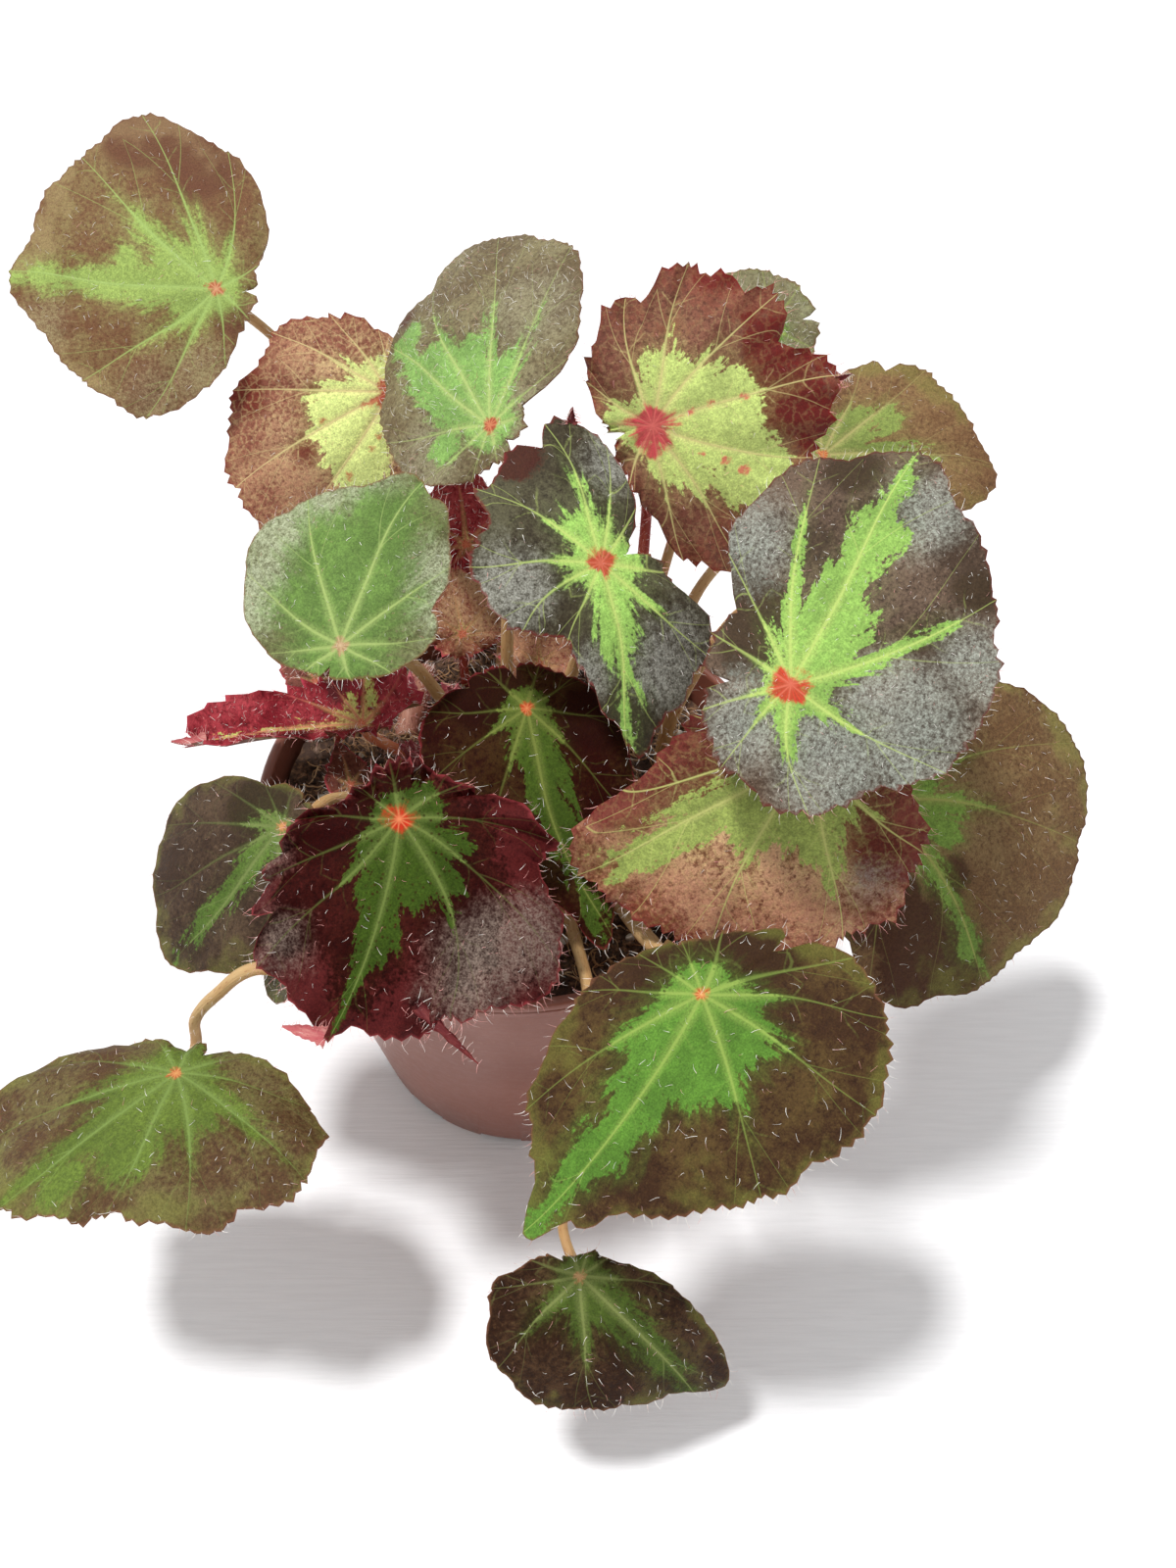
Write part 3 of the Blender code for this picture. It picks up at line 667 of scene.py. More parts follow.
@dataclass(frozen=True)
class Leaf:
    """One leaf: the model's form, and the veins and the finish that are looks alone.

    Attributes:
        name: Name of the model's node, without its first word.
        top: End of the stalk, where the veins meet.
        heading: Compass direction of the blade's tip, from +X towards +Y.
        pitch: How far the tip dips.
        roll: How far the blade's left side lifts.
        reach: Distance from the stalk's end to the margin every 30 degrees, from the tip round by the left.
        foot: Where the stalk leaves the soil.
        veins: Main veins.
        finish: Colours and surface.
        slot: Material slot of the blade.
        via: Points that the stalk passes.
        droop: How far the margin hangs, as a share of the mean reach.
        fold: Rise of the halves on both sides of the midrib.
        curl: Directions towards which the blade bends down, each with a share.
        wave: Height of the ruffles.
        ruffles: Number of ruffles.
        point: Length of the pointed tip.
        sinus: Direction of the slit between the base lobes.
        stalk: Radius of the stalk.
        red_stalk: Whether the stalk is red and hairy.
        young: Whether the blade is small or mostly hidden.
        tooth: Height of the margin's teeth.
        ragged: Depth of the margin's irregular notches.
        frill: Height of the fine frill along the margin.
        web: How far the splash fills the space between the veins, as a share of its reach along them.
        nicks: Notches of the margin: direction, depth and half width in degrees, with bulges negative.
        splashes: Spots that the splash also covers: direction, distance and radius.
        shades: Darker spots.
        painted_sheen_spots: Spots with the painted sheen.
        reds: Spots in the star's colour.
        hair: Hairs per square millimetre of the blade and their length.
    """

    name: str
    top: Point
    heading: float
    pitch: float
    roll: float
    reach: tuple[float, ...]
    foot: tuple[float, float]
    veins: tuple[Vein, ...]
    finish: LeafFinish
    slot: Slot
    via: tuple[Point, ...] = ()
    droop: float = 0.12
    fold: float = 0.0
    curl: tuple[tuple[float, float], ...] = ()
    wave: float = 0.6
    ruffles: int = 7
    point: float = 2.5
    sinus: float = 180.0
    stalk: float = 1.4
    red_stalk: bool = False
    young: bool = False
    tooth: float = 0.55
    ragged: float = 0.6
    frill: float = 0.25
    web: float = 0.6
    nicks: Spots = ()
    splashes: Spots = ()
    shades: Spots = ()
    painted_sheen_spots: Spots = ()
    reds: Spots = ()
    hair: tuple[float, float] = (0.05, 1.6)

    def turn(self) -> np.ndarray:
        """Rotation from the blade's own frame: X to the tip, Y to the left, Z out of the upper face."""
        return np.array(Matrix.Rotation(math.radians(self.heading), 3, "Z")
                        @ Matrix.Rotation(math.radians(self.pitch), 3, "Y")
                        @ Matrix.Rotation(math.radians(self.roll), 3, "X"))

    def reach_at(self, degrees: np.ndarray) -> np.ndarray:
        """Distance from the stalk's end to the margin.

        Args:
            degrees: Directions in the blade.

        Returns:
            The distances, smooth between the listed ones, with shallow lobes and a pointed tip.
        """
        count = len(self.reach)
        place = np.mod(degrees, 360.0) / 360.0 * count
        index = np.floor(place).astype(int)
        t = place - index
        listed = np.array(self.reach, float)
        before, start, end, after = (listed[(index + shift) % count] for shift in (-1, 0, 1, 2))
        square = 2.0 * before - 5.0 * start + 4.0 * end - after
        cube = 3.0 * start - before - 3.0 * end + after
        value = 0.5 * (2.0 * start + (end - before) * t + square * t ** 2 + cube * t ** 3)
        from_tip = np.mod(degrees + 180.0, 360.0) - 180.0
        lobe = 1.0 + LOBE_DEPTH * (np.abs(np.cos(np.radians(degrees * LOBES / 2.0))) - 0.6)
        return np.maximum(value * lobe, 2.5) + self.point * np.exp(-(from_tip / TIP_SPREAD) ** 2)

    def height(self, x: np.ndarray, y: np.ndarray, phase: float) -> np.ndarray:
        """Height of the blade's lower face over the plane at the stalk's end.

        Args:
            x: Places towards the tip.
            y: Places to the left.
            phase: Where the ruffles start.

        Returns:
            The heights.
        """
        mean = sum(self.reach) / len(self.reach)
        distance = np.hypot(x, y)
        degrees = np.degrees(np.arctan2(y, x))
        height = -self.droop * distance ** 2 / mean + self.fold * (np.hypot(y, 1.5) - 1.5)
        for direction, amount in self.curl:
            along = x * math.cos(math.radians(direction)) + y * math.sin(math.radians(direction))
            height = height - amount * np.maximum(0.0, along) ** 2 / mean
        share = distance / self.reach_at(degrees)
        return height + self.wave * np.sin(np.radians(degrees) * self.ruffles + phase) * share ** 3


@dataclass
class Blade:
    """Closed fine mesh of one blade, on a grid whose columns follow the veins.

    Attributes:
        leaf: The leaf's row.
        phase: Where the ruffles start.
        index: Number of the leaf, which shifts its patterns.
        pitch: Distance between columns at the margin.
        rings: Number of rings from the star to the margin.
        pucker: How far the tissue swells between the veins.
        groove: Depth of the veins in the upper face.
        ridge: Height of the veins on the lower face.
    """

    leaf: Leaf
    phase: float
    index: int
    pitch: float = 1.3
    rings: int = 30
    pucker: float = 0.9
    groove: float = 0.1
    ridge: float = 0.45

    def columns(self) -> tuple[np.ndarray, np.ndarray, np.ndarray, np.ndarray, list]:
        """Columns of the grid.

        Returns:
            The sector, the place in it and the distance from the nearest vein in sectors, for each column,
            the directions of the sectors' edges at the star and at the margin, and the sorted veins.
        """
        leaf = self.leaf
        veins = sorted(leaf.veins, key=lambda vein: (vein.begin - leaf.sinus) % 360.0)
        begins = np.array([0.0] + [(vein.begin - leaf.sinus) % 360.0 for vein in veins] + [360.0])
        ends = np.array([0.0] + [(vein.end - leaf.sinus) % 360.0 for vein in veins] + [360.0])
        sector, place, away = [], [], []
        for index in range(len(begins) - 1):
            middle = leaf.sinus + 0.5 * (ends[index] + ends[index + 1])
            width = math.radians(ends[index + 1] - ends[index]) * float(leaf.reach_at(np.array([middle]))[0])
            half = max(3, round(0.5 * width / self.pitch))
            first, last = index == 0, index == len(begins) - 2
            for step in range(2 * half):
                near = step / half if step < half else 2.0 - step / half
                spread = 0.5 * near ** 1.2
                spot = spread if step < half else 1.0 - spread
                sector.append(index)
                place.append(spot)
                away.append(0.5 * (1.0 - spot) if first else 0.5 * spot if last else min(spot, 1.0 - spot))
        edges = np.stack([begins, ends])
        return np.array(sector), np.array(place), np.array(away), edges, veins

    def notches(self, degrees: np.ndarray) -> np.ndarray:
        """Depth of the margin's notches in the given directions."""
        depth = np.zeros_like(degrees)
        for direction, deep, spread in self.leaf.nicks:
            off = np.mod(degrees - direction + 180.0, 360.0) - 180.0
            depth = depth + deep * np.exp(-(off / spread) ** 2)
        return depth

    @staticmethod
    def inside(x: np.ndarray, y: np.ndarray, spots: Spots) -> np.ndarray:
        """Distance inside the nearest of some round spots, negative outside them."""
        inside = np.full_like(x, AWAY)
        for direction, distance, size in spots:
            turn = math.radians(direction)
            away = np.hypot(x - distance * math.cos(turn), y - distance * math.sin(turn))
            inside = np.maximum(inside, size - away)
        return inside

    def splash_at(self, radius: np.ndarray, degrees: np.ndarray, share: np.ndarray, sector: np.ndarray,
                  veins: list) -> np.ndarray:
        """Distance inside the green splash, negative outside it.

        Args:
            radius: Distances from the star.
            degrees: Directions in the blade.
            share: Distances as a share of the way to the margin.
            sector: Sector between two veins, for each column.
            veins: The sorted veins.

        Returns:
            The distances.
        """
        leaf = self.leaf
        lengths = [vein.green * leaf.reach_at(np.array([vein.end]))[0] for vein in veins]
        green = np.array([0.0, *lengths, 0.0])
        web = leaf.web * np.minimum(green[:-1], green[1:])[sector]
        inside = np.maximum(leaf.finish.halo, web) - radius
        for vein, length in zip(veins, lengths):
            course = vein.begin + (vein.end - vein.begin) * share
            off = np.radians(np.mod(degrees - course + 180.0, 360.0) - 180.0)
            ahead = np.cos(off) > 0.0
            aside = np.where(ahead, radius * np.abs(np.sin(off)), radius)
            along = radius * np.cos(off) / length
            root = np.minimum(1.0, 0.45 + 2.4 * np.maximum(along, 0.0))
            taper = np.clip(1.0 - along, 0.0, 1.0) ** 0.75 * root
            band = vein.wide * taper - aside - 9.0 * np.maximum(0.0, along - 1.0)
            inside = np.maximum(inside, band)
        return inside

    def build(self) -> bpy.types.Object:
        """Build the blade.

        Returns:
            The blade's object, with the fields that its finish reads.
        """
        leaf = self.leaf
        sector, place, away, edges, veins = self.columns()
        count = len(sector)
        shares = (np.arange(1, self.rings + 1) / self.rings)[:, None]
        draw = np.random.default_rng(SEED + self.index)
        sway, start = draw.uniform(-2.2, 2.2, len(veins) + 2), draw.uniform(0.0, 6.3, len(veins) + 2)
        sway[0] = sway[-1] = 0.0
        bend = sway * np.sin(5.5 * shares + start) * np.minimum(1.0, 2.5 * shares)
        low_edge = edges[0][sector] + (edges[1][sector] - edges[0][sector]) * shares + bend[:, sector]
        high_edge = (edges[0][sector + 1] + (edges[1][sector + 1] - edges[0][sector + 1]) * shares
                     + bend[:, sector + 1])
        degrees = leaf.sinus + low_edge + (high_edge - low_edge) * place
        reach = leaf.reach_at(degrees)
        steps = np.arange(count)
        teeth = np.where(steps % 2 == 0, 1.0, -0.6) * draw.random(count) ** 1.3 * leaf.tooth
        spin = np.radians(degrees[-1])
        notch = sum(np.sin(spin * turns + draw.uniform(0.0, 6.3)) / turns ** 0.35
                    for turns in (13, 21, 29, 37))
        notch = notch * leaf.ragged * 0.45
        apart = np.mod(degrees[-1] - leaf.sinus + 180.0, 360.0) - 180.0
        slit = 1.0 - 0.32 * np.exp(-(apart / 3.5) ** 2) * shares ** 3
        radius = shares * (reach * slit) + shares ** 7 * notch + np.where(shares > MARGIN, teeth, 0.0)
        radius = radius - shares ** 4 * self.notches(degrees)
        radius = np.maximum(radius, 0.4 * shares)
        x, y = radius * np.cos(np.radians(degrees)), radius * np.sin(np.radians(degrees))
        width = radius * np.radians(high_edge - low_edge)
        vein = away * width
        arch = np.sin(math.pi * np.clip(2.0 * away, 0.0, 1.0) * 0.5)
        swell = self.pucker * arch * np.minimum(width / 14.0, 1.0)
        swell = swell * (1.0 - 0.6 * shares ** 4)
        ripple = np.sin(spin * 27 + self.phase) + 0.6 * np.sin(spin * 41 + 2.0 * self.phase)
        ripple = leaf.frill * shares ** 5 * ripple
        middle = leaf.height(x, y, self.phase) + swell + ripple
        line = np.exp(-(vein / 0.55) ** 2)
        thick = BLADE_THICKNESS * (1.0 - 0.6 * shares ** 6)
        upper = middle + GAP + 0.5 * (BLADE_THICKNESS + thick) - self.groove * line
        lower = middle + GAP + 0.5 * (BLADE_THICKNESS - thick) - self.ridge * line * (1.0 - 0.6 * shares)

        fork_start = np.array([9.0] + [item.fork for item in veins] + [9.0])
        nearest = np.where(place < 0.5, sector, sector + 1)
        nearest = np.clip(nearest, 1, len(veins))
        lean = draw.uniform(0.28, 0.62, (len(veins) + 2, 2))[nearest, (place < 0.5).astype(int)]
        fork = vein - lean * np.maximum(0.0, shares - fork_start[nearest]) * reach
        splash = np.maximum(self.splash_at(radius, degrees, shares, sector, veins),
                            self.inside(x, y, leaf.splashes))
        unit = np.stack([np.cos(np.radians(degrees)), np.sin(np.radians(degrees))], -1)
        points = self.both(np.stack([x, y, upper], -1), np.stack([x, y, lower], -1),
                           (0.0, 0.0, GAP + BLADE_THICKNESS - self.groove), (0.0, 0.0, GAP - self.ridge))
        faces = self.faces(count)
        placed = points @ leaf.turn().T + np.array(leaf.top)
        item = mesh_object("blade_" + leaf.name, placed, faces)
        shift = PATTERN_STEP * self.index
        flat = np.stack([x, y, np.full_like(x, shift)], -1)
        streak = np.stack([unit[..., 0] * 9.0, unit[..., 1] * 9.0, radius * 0.10 + shift], -1)
        margin = np.where(shares > MARGIN, 1.0, 0.0) * np.ones(count)
        hairy = np.where((shares > HAIRY_FROM) & (shares < HAIRY_TO), 1.0, 0.0) * np.ones(count)
        bare = np.zeros((self.rings, count))
        outward = np.concatenate([unit, np.full((self.rings, count, 1), 0.25)], -1)
        for name, values, centre in (
                ("flat", flat, (0.0, 0.0, shift)), ("streak", streak, (0.0, 0.0, shift)),
                ("vein", vein, 0.0), ("fork", fork, 0.0), ("share", shares, 0.0), ("star", radius, 0.0),
                ("rim", (1.0 - shares) * reach, 30.0), ("splash", splash, leaf.finish.halo),
                ("shade", self.inside(x, y, leaf.shades), AWAY),
                ("film", self.inside(x, y, leaf.painted_sheen_spots), AWAY), ("reds", self.inside(x, y, leaf.reds), AWAY)):
            store(item, name, self.alike(values, count, centre))
        store(item, "under", self.both(bare, bare + 1.0, 0.0, 1.0))
        store(item, "hairy", self.both(hairy, bare, 0.0, 0.0))
        store(item, "margin", self.both(margin, margin if leaf.frill > FRILLED else bare, 0.0, 0.0))
        store(item, "outward", self.alike(outward, count, (0.0, 0.0, 1.0)) @ leaf.turn().T)
        return item

    @staticmethod
    def both(upper: np.ndarray, lower: np.ndarray, top: float | Point, bottom: float | Point) -> np.ndarray:
        """Put the values of both sheets and of their centres in one list.

        Args:
            upper: Values on the upper sheet, by ring and column.
            lower: Values on the lower sheet.
            top: Value at the upper sheet's centre.
            bottom: Value at the lower sheet's centre.

        Returns:
            The values in the order of the blade's points.
        """
        shape = np.shape(upper)[2:]
        parts = (upper, (-1, *shape)), (top, (1, *shape)), (lower, (-1, *shape)), (bottom, (1, *shape))
        return np.concatenate([np.reshape(values, size) for values, size in parts])

    def alike(self, values: np.ndarray, count: int, centre: float | Point) -> np.ndarray:
        """Give both sheets the same values.

        Args:
            values: Values by ring and column, or by ring alone.
            count: Number of columns.
            centre: Value at both centres.

        Returns:
            The values in the order of the blade's points.
        """
        full = np.broadcast_to(values, (self.rings, count) + np.shape(values)[2:])
        return self.both(full, full, centre, centre)

    def faces(self, count: int) -> list:
        """Faces of both sheets, their centres and the margin's wall."""
        start = count * self.rings + 1
        hub, low_hub = start - 1, 2 * start - 1
        faces = []
        for step in range(count):
            after = (step + 1) % count
            faces.append((hub, step, after))
            faces.append((low_hub, start + after, start + step))
            for ring in range(self.rings - 1):
                a, b = ring * count + step, ring * count + after
                c, d = a + count, b + count
                faces.append((a, c, d, b))
                faces.append((start + a, start + b, start + d, start + c))
            top, top_after = (self.rings - 1) * count + step, (self.rings - 1) * count + after
            faces.append((start + top, start + top_after, top_after, top))
        return faces


@dataclass(frozen=True)
class Curl:
    """Rolled, ragged end of a blade's lobe.

    Attributes:
        name: Name of the piece, without its first word.
        leaf: Name of the blade that it grows from.
        direction: Direction of its root in the blade.
        share: Place of its root on the way to the margin.
        length: Its length.
        width: Its widest half width.
        veer: How far it turns aside in the blade's plane, in degrees.
        lift: How far its end turns up from the blade, in degrees.
        roll: How far its sides roll in, in degrees.
        steps: Rings along it.
        across: Points across it.
        thick: Its thickness.
        pale: Whether it is pink, not dark red.
    """

    name: str
    leaf: str
    direction: float
    share: float
    length: float
    width: float
    veer: float = 0.0
    lift: float = 60.0
    roll: float = 70.0
    steps: int = 14
    across: int = 8
    thick: float = 0.4
    pale: bool = False

    def build(self, leaf: Leaf, phase: float) -> bpy.types.Object:
        """Build the rolled end.

        Args:
            leaf: The blade's row.
            phase: Where the blade's ruffles start.

        Returns:
            The piece, with the fields that its finish and its hairs read.
        """
        turn = leaf.turn()
        distance = float(leaf.reach_at(np.array([self.direction]))[0]) * self.share
        angle = math.radians(self.direction)
        x, y = distance * math.cos(angle), distance * math.sin(angle)
        height = float(leaf.height(np.array([x]), np.array([y]), phase)[0]) + BLADE_THICKNESS
        spot = turn @ np.array((x, y, height)) + np.array(leaf.top)
        aim = math.radians(self.direction + self.veer)
        ahead, up = turn @ np.array((math.cos(aim), math.sin(aim), 0.0)), turn @ np.array((0.0, 0.0, 1.0))
        aside = np.cross(up, ahead)
        draw = np.random.default_rng(SEED + len(self.name))
        verts, run, outward, margin = [], [], [], []
        roll = math.radians(self.roll)
        for step in range(self.steps + 1):
            t = step / self.steps
            bend = math.radians(self.lift) * t
            along = ahead * math.cos(bend) + up * math.sin(bend)
            normal = up * math.cos(bend) - ahead * math.sin(bend)
            half = max(0.2, self.width * (1.0 - t) ** 0.7 * draw.uniform(0.8, 1.2))
            for side in (1.0, -1.0):
                for place in np.linspace(-side, side, self.across):
                    arc = roll * place
                    flat = half * math.sin(arc) / roll
                    rise = half * (1.0 - math.cos(arc)) / roll + 0.5 * self.thick * side
                    verts.append(spot + aside * flat + normal * rise)
                    run.append((flat * 2.0, rise * 2.0, self.length * t * 3.0))
                    outward.append(aside * place + normal * 0.3)
                    margin.append(1.0 if side > 0.0 and abs(place) > 0.99 else 0.0)
            spot = spot + along * self.length / self.steps
        ring = 2 * self.across
        faces = tube_ends(self.steps + 1, ring) + tube_walls(self.steps + 1, ring)
        item = hairy_tube("curl_" + self.name, np.array(verts), faces, np.array(run))
        store(item, "outward", np.array(outward))
        store(item, "margin", np.array(margin))
        return item


@dataclass(frozen=True)
class Fur:
    """Sizes of one coat of hairs.

    Attributes:
        density: Hairs per square millimetre.
        length: Their length.
        edge: Their length along the margin.
        radius: Their radius at the root.
        tilt: How far they lean.
    """

    density: float
    length: float
    edge: float = 1.0
    radius: float = 0.06
    tilt: float = 55.0


class HairCoat:
    """Hairs grown on a surface and along a margin by a Geometry Nodes tree.

    Attributes:
        tree: The node tree that every coat uses.
    """

    def __init__(self) -> None:
        """Build the tree."""
        sizes = dict.fromkeys(("Density", "Gap", "Length", "Edge Length", "Radius", "Tilt"), "Float")
        g, given = new_group("hair_coat", {
            "Surface": "Geometry", **sizes, "Seed": "Int", "Material": "Material"})
        self.tree = g.tree
        spread = g.node("GeometryNodeDistributePointsOnFaces",
                        {"Mesh": given["Surface"], "Distance Min": given["Gap"],
                         "Density Max": given["Density"], "Density Factor": g.stored("hairy"),
                         "Seed": given["Seed"]}, distribute_method="POISSON")
        on_face = self.stand(g, spread.outputs["Points"], spread.outputs["Rotation"], given, "Length", 1.0)
        at_edge = g.add("FunctionNodeCompare", {0: g.stored("margin"), 1: 0.5}, data_type="FLOAT",
                        operation="GREATER_THAN")
        edge = g.add("GeometryNodeMeshToPoints", {"Mesh": given["Surface"], "Selection": at_edge})
        aim = g.add("FunctionNodeAlignRotationToVector", {"Vector": g.stored("outward", "FLOAT_VECTOR")},
                    axis="Z")
        on_edge = self.stand(g, edge, aim, given, "Edge Length", 0.55)
        joined = g.node("GeometryNodeJoinGeometry", {0: on_face})
        g.link(on_edge, joined, 0)
        g.end(joined.outputs[0], given["Material"])

    @staticmethod
    def stand(g: Graph, points: Socket, rotation: Socket, given: dict, length: str, lean: float) -> Socket:
        """Stand a bent, tapered hair on each point.

        Args:
            g: The graph to write to.
            points: Points output.
            rotation: Rotation output with Z out of the surface.
            given: The group's inputs.
            length: Name of the input with the hairs' length.
            lean: Share of the tilt that is used.

        Returns:
            The instances.
        """
        hair = g.add("GeometryNodeMeshCone", {"Vertices": 3, "Side Segments": 3,
                                              "Radius Top": g.times(given["Radius"], 0.3),
                                              "Radius Bottom": given["Radius"], "Depth": given[length]},
                     fill_type="NGON")
        rise = g.add("ShaderNodeSeparateXYZ", {0: g.add("GeometryNodeInputPosition")}, out=2)
        along = g.math("DIVIDE", rise, given[length])
        bend = g.times(g.times(along, along), g.times(given[length], 0.55))
        bent = g.add("GeometryNodeSetPosition",
                     {"Geometry": hair, "Offset": g.add("ShaderNodeCombineXYZ", {0: bend})})
        tilt = g.times(given["Tilt"], lean)
        least = g.add("ShaderNodeCombineXYZ", {0: g.times(tilt, -1.0), 1: g.times(tilt, -1.0)})
        most = g.add("ShaderNodeCombineXYZ", {0: tilt, 1: tilt, 2: 2.0 * math.pi})
        angles = g.add("FunctionNodeRandomValue", {0: least, 1: most, "Seed": given["Seed"]},
                       data_type="FLOAT_VECTOR")
        jitter = g.add("FunctionNodeEulerToRotation", {0: angles})
        turned = g.add("FunctionNodeRotateRotation", {0: rotation, 1: jitter}, rotation_space="LOCAL")
        size = g.add("FunctionNodeRandomValue", {2: 0.55, 3: 1.2, "Seed": given["Seed"]}, out=1,
                     data_type="FLOAT")
        return g.add("GeometryNodeInstanceOnPoints", {"Points": points, "Instance": bent, "Rotation": turned,
                                                      "Scale": size})

    def grow(self, name: str, source: bpy.types.Object, fur: Fur, seed: int,
             material: bpy.types.Material) -> bpy.types.Object:
        """Grow a coat on a mesh.

        Args:
            name: Name of the coat's object.
            source: Mesh with the fields hairy, margin and outward.
            fur: Sizes of the hairs.
            seed: Seed of the scatter.
            material: Finish of the hairs.

        Returns:
            The coat as a plain mesh.
        """
        return run_group(name, source, self.tree, {
            "Density": fur.density / MM ** 2, "Gap": 0.4 / math.sqrt(fur.density) * MM,
            "Length": fur.length * MM, "Edge Length": fur.edge * MM, "Radius": fur.radius * MM,
            "Tilt": math.radians(fur.tilt), "Seed": seed, "Material": material})


@dataclass(frozen=True)
class HairFinish:
    """Finish of the hairs: a pale colour with a warmer one in patches."""

    pale: Colour = paint(248, 244, 236, 0.95)
    warm: Colour = paint(214, 150, 140, 0.9)
    share: float = 0.5

    def dress(self, name: str) -> bpy.types.Material:
        """Write the hairs' material."""
        material, g, shader = new_material(name)
        place = g.place()
        patch = g.fade(g.noise(place, 260.0, 2.0), 0.66 - 0.3 * self.share, 0.72 - 0.2 * self.share)
        tint = g.mix(patch, self.pale, self.warm)
        g.link(tint, shader, "Base Color")
        g.link(g.fade(g.noise(place, 900.0, 1.0), -0.4, 1.6), shader, "Roughness")
        return material


@dataclass(frozen=True)
class StalkFinish:
    """Finish of a stalk: a base colour with short flecks along it."""

    base: Colour
    light: Colour
    fleck: Colour
    amount: float = 0.5

    def dress(self, name: str) -> bpy.types.Material:
        """Write the stalk's material."""
        material, g, shader = new_material(name)
        run = g.vector("run")
        soft = g.noise(g.stretch(run, (0.4, 0.4, 0.07)), 1.0, 3.0)
        flecks = g.noise(g.stretch(run, (2.2, 2.2, 0.75)), 1.0, 3.0, 0.65)
        colour = g.mix(g.fade(soft, 0.35, 0.7), self.base, self.light)
        colour = g.lay(colour, self.fleck, g.fade(flecks, 0.62 - 0.1 * self.amount, 0.72), 0.85)
        g.link(colour, shader, "Base Color")
        ribs = g.noise(g.stretch(run, (3.0, 3.0, 0.12)), 1.0, 2.0)
        g.link(g.bump(ribs, 0.5, 0.0005), shader, "Normal")
        g.link(g.fade(flecks, -0.7, 1.3), shader, "Roughness")
        return material


def soil_height(x: float, y: float) -> float:
    """Height of the model's lumpy soil, a little higher at the left."""
    broad = noise.noise(Vector((x * 0.09, y * 0.09, 3.1)))
    small = noise.noise(Vector((x * 0.2, y * 0.2, 8.4)))
    edge = max(0.0, math.hypot(x, y) / RIM_RADIUS - 0.75)
    return SOIL_LEVEL + SOIL_BUMP * (broad + 0.5 * small) - 0.02 * x - 5.0 * edge


@dataclass
class Stalk:
    """Round stalk along the model's route, grown together with the blade.

    Attributes:
        leaf: The leaf's row.
        sides: Number of sides.
        step: Distance between rings.
        swell: How much thicker the stalk is where it meets the blade.
    """

    leaf: Leaf
    sides: int = 10
    step: float = 1.6
    swell: float = 0.35

    def route(self) -> np.ndarray:
        """Points of the stalk's axis, from its hole in the soil into the blade."""
        leaf = self.leaf
        x, y = leaf.foot
        ground = soil_height(x, y)
        normal = leaf.turn() @ np.array((0.0, 0.0, 1.0))
        points = [np.array((x, y, ground - HOLE_DEPTH + GAP)), np.array((x, y, ground + 1.0))]
        points += [np.array(point, float) for point in leaf.via]
        points.append(np.array(leaf.top, float) + normal * GAP)
        upright = np.array((0.0, 0.0, 1.0))
        directions = [upright, upright]
        for before, after in zip(points[1:], points[3:]):
            directions.append((after - before) / np.linalg.norm(after - before))
        directions.append(normal)
        track = []
        for index in range(len(points) - 1):
            start, end = points[index], points[index + 1]
            length = np.linalg.norm(end - start)
            leave, arrive = directions[index] * length, directions[index + 1] * length
            steps = max(3, round(length / self.step))
            for t in np.arange(steps) / steps:
                track.append(start * (2.0 * t ** 3 - 3.0 * t * t + 1.0) + leave * (t ** 3 - 2.0 * t * t + t)
                             + end * (3.0 * t * t - 2.0 * t ** 3) + arrive * (t ** 3 - t * t))
        track.append(points[-1])
        return np.array(track)

    def build(self) -> bpy.types.Object:
        """Build the stalk."""
        path = self.route()
        share = np.linspace(0.0, 1.0, len(path))
        radii = self.leaf.stalk * (1.2 - 0.35 * share + self.swell * np.exp(-((1.0 - share) / 0.04) ** 2)
                                   + 0.02 * np.sin(share * 37.0))
        verts, faces, run = sweep(path, radii, self.sides)
        return hairy_tube("stem_" + self.leaf.name, verts, faces, run)


